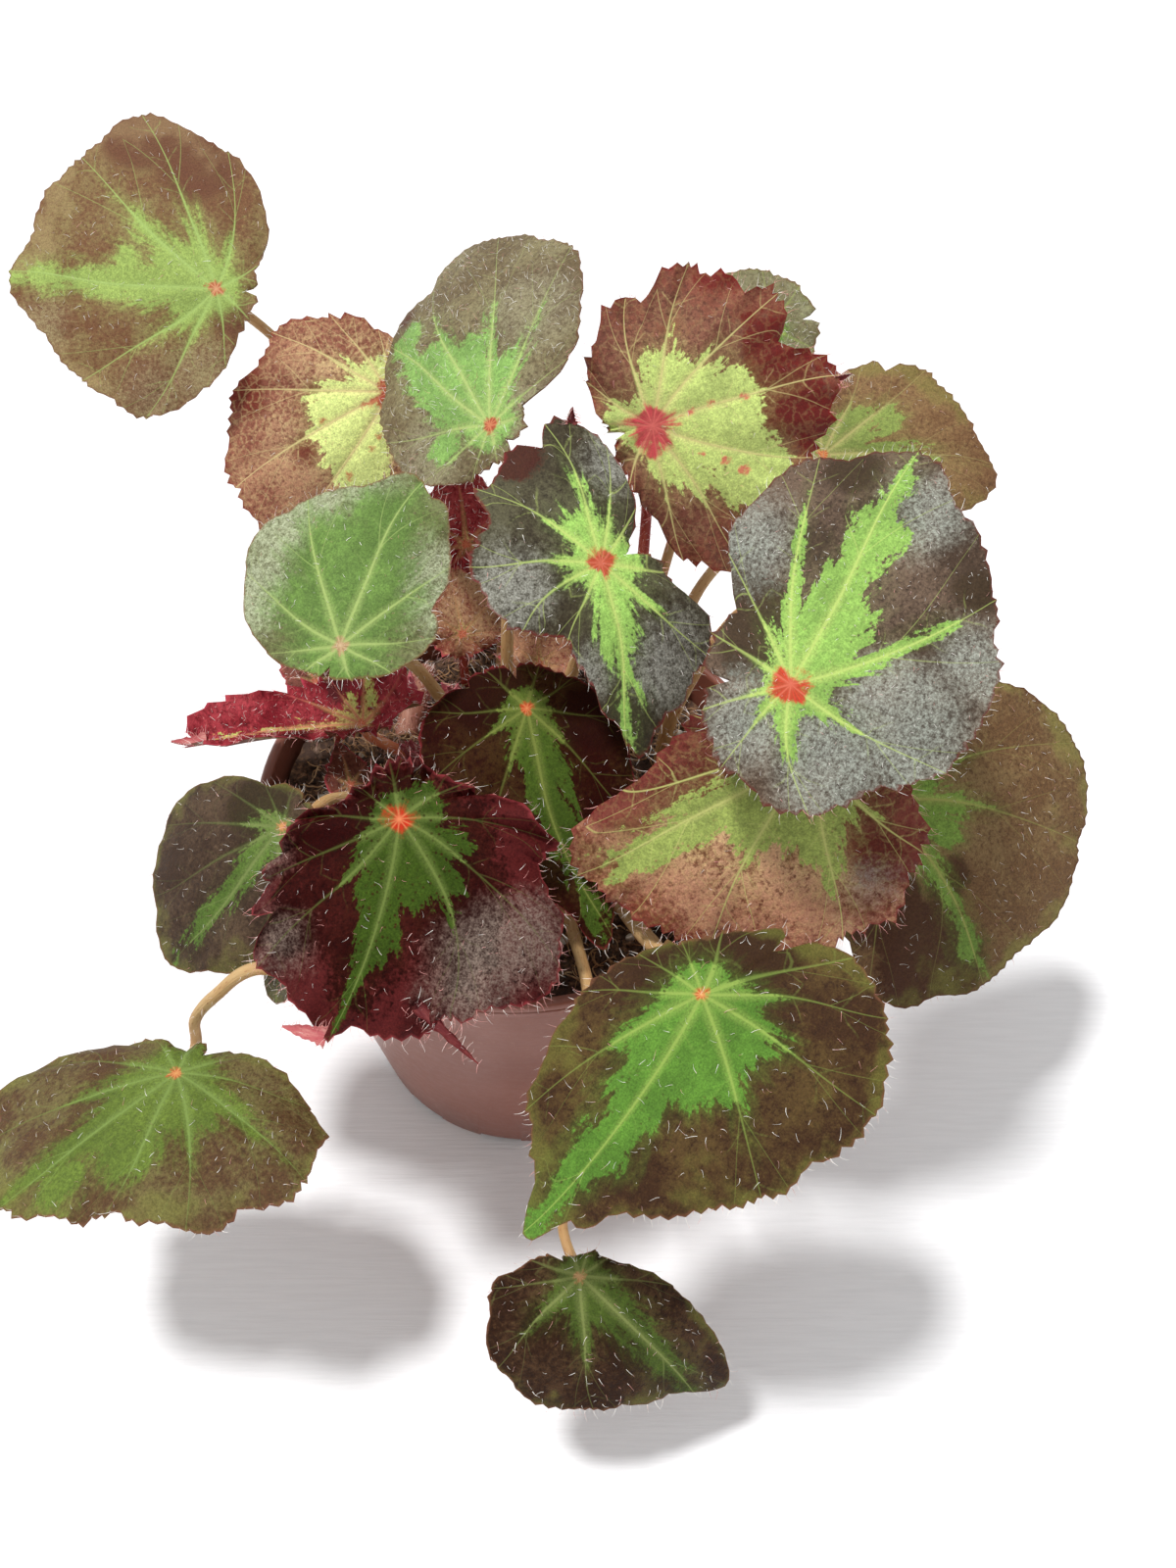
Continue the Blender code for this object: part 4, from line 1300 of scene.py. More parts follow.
@dataclass
class Pot:
    """Thin plastic nursery pot with a rolled double-line lip, short feet and drain holes.

    Attributes:
        steps: Steps round the pot.
        lip_steps: Points on the lip's round top.
        line_depth: Depth of the groove that draws the second line of the lip.
        line_drop: How far under the lip's top that groove lies.
        drain_sides: Sides of a drain hole.
    """

    steps: int = 120
    lip_steps: int = 12
    line_depth: float = 0.35
    line_drop: float = 2.2
    drain_sides: int = 24

    @staticmethod
    def inside(height: float) -> float:
        """Inner radius of the wall."""
        share = (height - FLOOR_RAISE) / (POT_HEIGHT - FLOOR_RAISE)
        return BASE_RADIUS + (RIM_RADIUS - LIP_WIDTH - BASE_RADIUS) * share - POT_WALL * (1.0 - share)

    @staticmethod
    def outside(height: float) -> float:
        """Outer radius of the wall."""
        return BASE_RADIUS + (RIM_RADIUS - LIP_WIDTH + POT_WALL - BASE_RADIUS) * height / POT_HEIGHT

    def profile(self) -> list[tuple[float, float]]:
        """Outline of the pot's section, from the middle of its floor over the lip to the underside."""
        floor_top = FLOOR_RAISE + POT_WALL
        lip_bottom = POT_HEIGHT - LIP_DEPTH
        points = [(0.0, floor_top), (self.inside(floor_top) - 1.5, floor_top),
                  (self.inside(floor_top + 0.5) - 0.5, floor_top + 0.5),
                  (self.inside(floor_top + 1.5), floor_top + 1.5), (RIM_RADIUS - LIP_WIDTH, lip_bottom)]
        middle, radius = RIM_RADIUS - LIP_WIDTH / 2.0, LIP_WIDTH / 2.0
        for step in range(self.lip_steps + 1):
            angle = math.pi * (1.0 - step / self.lip_steps)
            level = POT_HEIGHT - radius + radius * math.sin(angle)
            points.append((middle + radius * math.cos(angle), level))
        line = POT_HEIGHT - self.line_drop
        points += [(RIM_RADIUS, line + 0.3), (RIM_RADIUS - self.line_depth, line),
                   (RIM_RADIUS, line - 0.3), (RIM_RADIUS, lip_bottom + 0.4), (RIM_RADIUS - 0.3, lip_bottom),
                   (self.outside(lip_bottom) + 0.2, lip_bottom - 0.2),
                   (self.outside(lip_bottom), lip_bottom - 0.6)]
        points += [(self.outside(level), level) for level in (70.0, 45.0, 20.0, 1.0)]
        points += [(BASE_RADIUS - 0.2, 0.3), (BASE_RADIUS - 0.6, 0.0), (BASE_RADIUS - 3.0, 0.0),
                   (BASE_RADIUS - 4.2, FLOOR_RAISE), (PAD_RADIUS + 1.0, FLOOR_RAISE), (PAD_RADIUS, 0.0),
                   (0.0, 0.0)]
        return points

    def cutter(self) -> bpy.types.Object:
        """Boxes between the feet and rods through the drain holes, as one mesh of separate shapes."""
        verts, faces = [], []
        for index in range(FOOT_COUNT):
            angle = math.radians(FOOT_TURN + index * 360.0 / FOOT_COUNT)
            ahead = np.array((math.cos(angle), math.sin(angle), 0.0))
            aside = np.array((-math.sin(angle), math.cos(angle), 0.0))
            half = 0.5 * BASE_RADIUS * math.radians(180.0 / FOOT_COUNT)
            start = len(verts)
            for level in (-FOOT_HEIGHT, FOOT_HEIGHT):
                for out, side in ((-5.0, -1.0), (5.0, -1.0), (5.0, 1.0), (-5.0, 1.0)):
                    corner = ahead * (BASE_RADIUS + out) + aside * half * side
                    verts.append(corner + np.array((0.0, 0.0, level)))
            faces += [tuple(start + i for i in face) for face in
                      ((3, 2, 1, 0), (4, 5, 6, 7), (0, 1, 5, 4), (1, 2, 6, 5), (2, 3, 7, 6), (3, 0, 4, 7))]
        sides = self.drain_sides
        for index in range(DRAIN_COUNT):
            angle = 2.0 * math.pi * (index + 0.5) / DRAIN_COUNT
            start = len(verts)
            for level in (-1.0, 7.0):
                for step in range(sides):
                    turn = 2.0 * math.pi * step / sides
                    x = DRAIN_RING * math.cos(angle) + DRAIN_RADIUS * math.cos(turn)
                    y = DRAIN_RING * math.sin(angle) + DRAIN_RADIUS * math.sin(turn)
                    verts.append(np.array((x, y, level)))
            faces += tube_ends(2, sides, start) + tube_walls(2, sides, start)
        return mesh_object("pot_cutter", np.array(verts), faces, smooth=False)

    def build(self) -> bpy.types.Object:
        """Build the pot."""
        points = [(radius, 0.0, level) for radius, level in self.profile()]
        item = mesh_object("nursery_pot", np.array(points), [], smooth=False)
        item.data.edges.add(len(points) - 1)
        for index, edge in enumerate(item.data.edges):
            edge.vertices = (index, index + 1)
        screw = item.modifiers.new("turn", "SCREW")
        screw.steps = screw.render_steps = self.steps
        screw.use_merge_vertices = True
        screw.merge_threshold = 0.00005
        cutter = self.cutter()
        cut = item.modifiers.new("feet_and_drains", "BOOLEAN")
        cut.operation = "DIFFERENCE"
        cut.object = cutter
        settle(item)
        bpy.data.objects.remove(cutter, do_unlink=True)
        item.data.shade_smooth()
        item.data.set_sharp_from_angle(angle=math.radians(35.0))
        return item

    @staticmethod
    def dress() -> bpy.types.Material:
        """Satin terracotta-brown plastic with faint turning marks, dust and scuffs."""
        material, g, shader = new_material("terracotta_plastic")
        place = g.place()
        cloud = g.noise(place, 45.0, 4.0)
        dust = g.noise(place, 420.0, 5.0, 0.65)
        colour = g.mix(g.fade(cloud, 0.3, 0.7), paint(164, 98, 80, 0.56), paint(176, 110, 92, 0.56))
        colour = g.lay(colour, paint(206, 160, 142, 0.62), g.fade(dust, 0.58, 0.72), 0.35)
        g.link(colour, shader, "Base Color")
        marks = g.noise(g.stretch(place, (8.0, 8.0, 900.0)), 1.0, 2.0)
        rough = g.span(dust, 0.3, 0.8, 0.30, 0.46)
        g.link(rough, shader, "Roughness")
        relief = g.plus(g.times(marks, 0.4), g.times(dust, 0.3))
        g.link(g.bump(relief, 0.25, 0.0003), shader, "Normal")
        return material


class Litter:
    """Loose bits scattered over the potting mix by a Geometry Nodes tree: crumbs, perlite and bark.

    Attributes:
        tree: The node tree that every scatter uses.
    """

    def __init__(self) -> None:
        """Build the tree."""
        g, given = new_group("litter", {
            "Ground": "Geometry", "Density": "Float", "Size": "Vector", "Lumps": "Float", "Fineness": "Int",
            "Seed": "Int", "Material": "Material"})
        self.tree = g.tree
        spread = g.add("GeometryNodeDistributePointsOnFaces",
                       {"Mesh": given["Ground"], "Density": g.times(given["Density"], g.stored("open")),
                        "Seed": given["Seed"]})
        ball = g.add("GeometryNodeMeshIcoSphere", {"Radius": 1.0, "Subdivisions": given["Fineness"]})
        knobs = g.add("ShaderNodeTexNoise", {"Scale": 1.3, "Detail": 2.0}, out=1)
        centred = g.add("ShaderNodeVectorMath", {0: knobs, 1: (0.5, 0.5, 0.5)}, operation="SUBTRACT")
        push = g.add("ShaderNodeVectorMath", {0: centred, "Scale": given["Lumps"]}, operation="SCALE")
        bit = g.add("GeometryNodeSetPosition", {"Geometry": ball, "Offset": push})
        shaped = g.add("GeometryNodeTransform", {"Geometry": bit, "Scale": given["Size"]})
        spin = g.add("FunctionNodeRandomValue",
                     {0: (-0.7, -0.7, 0.0), 1: (0.7, 0.7, 6.3), "Seed": given["Seed"]},
                     data_type="FLOAT_VECTOR")
        turn = g.add("FunctionNodeEulerToRotation", {0: spin})
        scale = g.add("FunctionNodeRandomValue", {2: 0.45, 3: 1.25, "Seed": given["Seed"]}, out=1,
                      data_type="FLOAT")
        placed = g.add("GeometryNodeInstanceOnPoints",
                       {"Points": spread, "Instance": shaped, "Rotation": turn, "Scale": scale})
        g.end(placed, given["Material"])

    def scatter(self, name: str, ground: bpy.types.Object, density: float, size: Point, lumps: float,
                fineness: int, material: bpy.types.Material) -> bpy.types.Object:
        """Scatter one kind of bit.

        Args:
            name: Name of the bits' object.
            ground: Mesh with the field open.
            density: Bits per square millimetre.
            size: Half sizes of a bit.
            lumps: How knobbly a bit is.
            fineness: Subdivisions of a bit.
            material: Finish of the bits.

        Returns:
            The bits as a plain mesh.
        """
        return run_group(name, ground, self.tree, {
            "Density": density / MM ** 2, "Size": [part * MM for part in size], "Lumps": lumps,
            "Fineness": fineness, "Seed": SEED + len(name), "Material": material})


@dataclass(frozen=True)
class GritFinish:
    """Finish of something dug up: two colours in grains."""

    dark: Colour
    light: Colour
    grain: float = 700.0
    rough: float = 0.9
    relief: float = 0.0012

    def dress(self, name: str) -> bpy.types.Material:
        """Write the material."""
        material, g, shader = new_material(name)
        place = g.place()
        coarse = g.noise(place, self.grain * 0.25, 4.0)
        fine = g.noise(place, self.grain, 4.0, 0.65)
        colour = g.mix(g.fade(coarse, 0.35, 0.65), self.dark, self.light)
        colour = g.mix(g.fade(fine, 0.35, 0.75), self.dark, colour)
        g.link(colour, shader, "Base Color")
        g.link(g.bump(fine, 0.8, self.relief), shader, "Normal")
        rough = g.span(fine, 0.2, 0.8, self.rough - 0.12, min(1.0, self.rough))
        g.link(rough, shader, "Roughness")
        return material


@dataclass
class Soil:
    """Potting mix with crumbs, perlite, bark chips and fibres on it.

    Attributes:
        rings: Rings from the middle to the wall.
        steps: Steps round the pot.
        roughness: Height of the fine lumps.
        fibres: Number of loose fibres.
        heap: How much higher the crumbly top lies at the left.
        heap_at: Middle of that heap.
        heap_width: Its width.
        knots: Points along a fibre.
    """

    rings: int = 44
    steps: int = 160
    roughness: float = 1.6
    fibres: int = 1500
    heap: float = 2.6
    heap_at: tuple[float, float] = (-42.0, 12.0)
    heap_width: float = 26.0
    knots: int = 7

    def level(self, x: float, y: float) -> float:
        """Height of the fine, crumbly surface."""
        crumbs = noise.noise(Vector((x * 0.45, y * 0.45, 1.7)))
        fine = crumbs + 0.6 * noise.noise(Vector((x * 1.1, y * 1.1, 5.2)))
        away = (x - self.heap_at[0]) ** 2 + (y - self.heap_at[1]) ** 2
        heap = self.heap * math.exp(-away / self.heap_width ** 2)
        return soil_height(x, y) + self.roughness * fine * 0.7 + heap

    def build(self) -> bpy.types.Object:
        """Build the body of the mix, closed below."""
        bottom = FLOOR_RAISE + POT_WALL + GAP
        outer = Pot.inside(SOIL_LEVEL - 2.0) - GAP
        verts = [(0.0, 0.0, self.level(0.0, 0.0))]
        for ring in range(1, self.rings + 1):
            radius = outer * ring / self.rings
            for step in range(self.steps):
                angle = 2.0 * math.pi * step / self.steps
                x, y = radius * math.cos(angle), radius * math.sin(angle)
                verts.append((x, y, self.level(x, y)))
        foot = Pot.inside(bottom + 1.2) - GAP - 1.0
        for step in range(self.steps):
            angle = 2.0 * math.pi * step / self.steps
            verts.append((foot * math.cos(angle), foot * math.sin(angle), bottom))
        verts.append((0.0, 0.0, bottom))
        faces = []
        last = 1 + self.rings * self.steps
        for step in range(self.steps):
            after = (step + 1) % self.steps
            faces.append((0, 1 + step, 1 + after))
            for ring in range(self.rings):
                a, b = 1 + ring * self.steps + step, 1 + ring * self.steps + after
                faces.append((a, a + self.steps, b + self.steps, b))
            faces.append((last + step, len(verts) - 1, last + after))
        item = mesh_object("potting_mix", np.array(verts), faces)
        level = np.array(verts)
        away = np.hypot(level[:, 0], level[:, 1])
        store(item, "open", ((away < outer - 1.5) & (level[:, 2] > SOIL_LEVEL - 8.0)).astype(float))
        return item

    def strands(self) -> bpy.types.Object:
        """Loose curled fibres that lie on the mix."""
        draw = random.Random(SEED)
        verts, faces = [], []
        for _ in range(self.fibres):
            reach = 50.0 * math.sqrt(draw.random())
            around = draw.uniform(0.0, 2.0 * math.pi)
            x, y = reach * math.cos(around), reach * math.sin(around)
            heading, bend = draw.uniform(0.0, 2.0 * math.pi), draw.uniform(-0.6, 0.6)
            length, lift = draw.uniform(0.4, 1.3), draw.uniform(0.3, 2.0)
            path = []
            for step in range(self.knots):
                rise = lift * math.sin(math.pi * step / (self.knots - 1))
                path.append((x, y, self.level(x, y) + 0.3 + rise))
                x, y = x + length * math.cos(heading), y + length * math.sin(heading)
                heading += bend
            radii = np.full(self.knots, draw.uniform(0.09, 0.22))
            radii[-1] *= 0.5
            tube, sides, _ = sweep(np.array(path), radii, 3)
            faces += [tuple(index + len(verts) for index in side) for side in sides]
            verts += tube.tolist()
        return mesh_object("fibres", np.array(verts), faces)


@dataclass
class Rhizome:
    """Creeping stem with scaly buds.

    Attributes:
        path: Points along its axis with the radius there.
        buds: Foot of each bud with its heading and length.
        scales: Number of scales round a bud.
    """

    path: tuple = ((-29, 20, 80, 2.4), (-28, 21, 87, 2.8), (-27, 27, 90, 3.2), (-26, 34, 90, 3.4),
                   (-25, 41, 88, 3.0), (-24, 45, 80, 2.4))
    buds: tuple = ((-24.5, 14, 84, 260, 15), (-16, 31, 85, 250, 14), (-27, 31, 88, 150, 11))
    scales: int = 5

    def build(self) -> bpy.types.Object:
        """Build the stem."""
        return hairy_tube("creeping_stem", *self.tube(self.path, 14, 0.08))

    def sprout(self) -> bpy.types.Object:
        """Build the pointed buds, each in a few pointed scales."""
        verts, faces, run = np.zeros((0, 3)), [], np.zeros((0, 3))
        for x, y, z, heading, length in self.buds:
            turn = math.radians(heading)
            lean = np.array((math.cos(turn) * 0.35, math.sin(turn) * 0.35, 1.0))
            lean /= np.linalg.norm(lean)
            for scale in range(self.scales + 1):
                turn = 2.4 * scale
                aside = np.array((math.cos(turn), math.sin(turn), 0.0)) * (1.5 if scale else 0.0)
                full = length * (1.0 if scale == 0 else 0.62 + 0.3 * math.sin(5.0 * scale + x) ** 2)
                spots = [(*(np.array((x, y, z)) + lean * full * share + aside * flare), radius)
                         for share, radius, flare in ((-0.1, 1.3, 0.6), (0.3, 1.9, 1.0), (0.6, 1.5, 1.1),
                                                      (0.85, 0.8, 1.4), (1.0, 0.2, 1.8))]
                more, sides, along = self.tube(spots, 9, 0.1)
                faces += [tuple(index + len(verts) for index in side) for side in sides]
                verts, run = np.concatenate([verts, more]), np.concatenate([run, along])
        return hairy_tube("buds", verts, faces, run)

    @staticmethod
    def tube(spots: tuple | list, sides: int, lumps: float) -> tuple[np.ndarray, list, np.ndarray]:
        """Lumpy tube on a smooth line through the spots."""
        spots = np.array(spots, float)
        places = np.linspace(0.0, len(spots) - 1.0, 6 * len(spots))
        fine = np.stack([np.interp(places, np.arange(len(spots)), spots[:, axis]) for axis in range(4)], -1)
        for _ in range(3):
            fine[1:-1] = 0.25 * fine[:-2] + 0.5 * fine[1:-1] + 0.25 * fine[2:]
        verts, faces, run = sweep(fine[:, :3], fine[:, 3], sides)
        angle = np.arctan2(run[:, 1], run[:, 0])
        push = lumps * np.sin(3.0 * angle + 0.8 * run[:, 2]) * np.hypot(run[:, 0], run[:, 1])
        centre = np.repeat(fine[:, :3], sides, axis=0)
        out = verts - centre
        out /= np.maximum(np.linalg.norm(out, axis=1), 0.01)[:, None]
        return verts + out * push[:, None], faces, run


@dataclass(frozen=True)
class Studio:
    """Pale floor, soft light from above and behind, and the camera.

    Attributes:
        eye: Place of the camera.
        dip: How far the camera looks down from the horizon.
        lens: Focal length.
        sun_from: Direction towards the main light.
        sun_power: Strength of the main light.
        sun_spread: Angle that the main light covers, which softens its shadows.
        sky: Strength of the light from all round.
        sensor: Width of the camera's sensor.
        half: Half the side of the floor.
    """

    eye: Point = (15.756, -221.754, 347.154)
    dip: float = 48.874
    lens: float = 33.75
    sun_from: Point = (-0.30, 0.03, 1.0)
    sun_power: float = 2.9
    sun_spread: float = 9.0
    sky: float = 0.62
    sensor: float = 36.0
    half: float = 2500.0

    def build(self) -> None:
        """Build the floor, the lights and the camera."""
        scene = bpy.context.scene
        scene.view_settings.view_transform = "Standard"
        camera = bpy.data.objects.new("camera", bpy.data.cameras.new("camera"))
        camera.data.lens = self.lens
        camera.data.sensor_width = self.sensor
        camera.data.clip_start = 0.01
        camera.location = [part * MM for part in self.eye]
        camera.rotation_euler = (math.radians(90.0 - self.dip), 0.0, 0.0)
        scene.collection.objects.link(camera)
        scene.camera = camera
        corners = self.half * np.array([(-1.0, -1.0, 0.0), (1.0, -1.0, 0.0), (1.0, 1.0, 0.0),
                                        (-1.0, 1.0, 0.0)])
        floor = mesh_object("floor", corners, [(0, 1, 2, 3)], smooth=False)
        floor.data.materials.append(self.floor_finish())
        sun = bpy.data.lights.new("key", "SUN")
        sun.energy = self.sun_power
        sun.angle = math.radians(self.sun_spread)
        key = bpy.data.objects.new("key", sun)
        key.rotation_euler = Vector(self.sun_from).to_track_quat("Z", "Y").to_euler()
        scene.collection.objects.link(key)
        self.lamp("front_fill", (0.35, -0.9, 0.9), 1.6, 1.0, 3.0)
        world = bpy.data.worlds.new("studio")
        world.use_nodes = True
        light = world.node_tree.nodes["Background"]
        light.inputs[0].default_value = (1.0, 1.0, 1.0, 1.0)
        light.inputs[1].default_value = self.sky
        scene.world = world

    @staticmethod
    def lamp(name: str, towards: Point, distance: float, size: float, power: float) -> None:
        """Add a square lamp that faces the plant.

        Args:
            name: Name of the lamp.
            towards: Direction from the plant to the lamp.
            distance: Distance in metres.
            size: Side of the lamp in metres.
            power: Power in watts.
        """
        light = bpy.data.lights.new(name, "AREA")
        light.energy = power
        light.size = size
        item = bpy.data.objects.new(name, light)
        place = Vector(towards).normalized() * distance
        item.location = place + Vector((0.0, 0.0, 0.09))
        item.rotation_euler = place.to_track_quat("Z", "Y").to_euler()
        bpy.context.scene.collection.objects.link(item)

    @staticmethod
    def floor_finish() -> bpy.types.Material:
        """White painted board with faint brush marks."""
        material, g, shader = new_material("white_board")
        place = g.place()
        marks = g.noise(g.stretch(place, (60.0, 900.0, 1.0)), 1.0, 4.0)
        colour = g.mix(g.fade(marks, 0.3, 0.7), (0.82, 0.82, 0.83), (0.86, 0.86, 0.87))
        g.link(colour, shader, "Base Color")
        g.link(g.bump(marks, 0.35, 0.0004), shader, "Normal")
        shader.inputs["Roughness"].default_value = 0.6
        return material


OLIVE = LeafFinish(paint(66, 44, 30), paint(100, 80, 46), paint(104, 144, 58), paint(174, 192, 104),
                   paint(226, 66, 42), core=paint(250, 186, 118), rim=paint(126, 84, 62), edging=0.4,
                   star_radius=1.1)
DARK = LeafFinish(paint(48, 15, 13), paint(72, 40, 30), paint(84, 114, 44), paint(150, 166, 84),
                  paint(226, 50, 36), core=paint(250, 150, 104), rim=paint(140, 52, 56), halo=5.5, glow=0.03,
                  gloss=0.05, bold=0.28)
# SLATE's grey spots are painted sheen, a reflection of the light laid into the colour.
SLATE = LeafFinish(paint(74, 64, 50), paint(102, 96, 72), paint(162, 210, 98), paint(208, 228, 128),
                   paint(214, 52, 54), rim=paint(110, 50, 42), sheen=paint(172, 172, 162), film=0.85,
                   star_radius=1.9, glow=0.06, shade=paint(76, 30, 24), bold=0.42)
# RUSSET's bright salmon and lime are partly the blades' own colour and partly painted glow of light shining
# through them from behind.
RUSSET = LeafFinish(paint(132, 70, 50), paint(170, 122, 92), paint(222, 234, 138), paint(228, 208, 142),
                    paint(206, 48, 58), rim=paint(118, 34, 34), star_radius=3.0, blush=0.4, net=0.45,
                    shade=paint(96, 22, 22), glow=0.12, bold=0.5)
YOUNG_RED = LeafFinish(paint(140, 30, 42), paint(190, 84, 86), paint(206, 204, 122), paint(214, 120, 104),
                       paint(220, 96, 74), rim=paint(196, 66, 84), halo=0.6, star_radius=0.9, glow=0.0)

YOUNG_VEINS = tuple(Vein(angle, angle, green=0.2, wide=0.8) for angle in (-140, -98, -50, 0, 50, 98, 140))

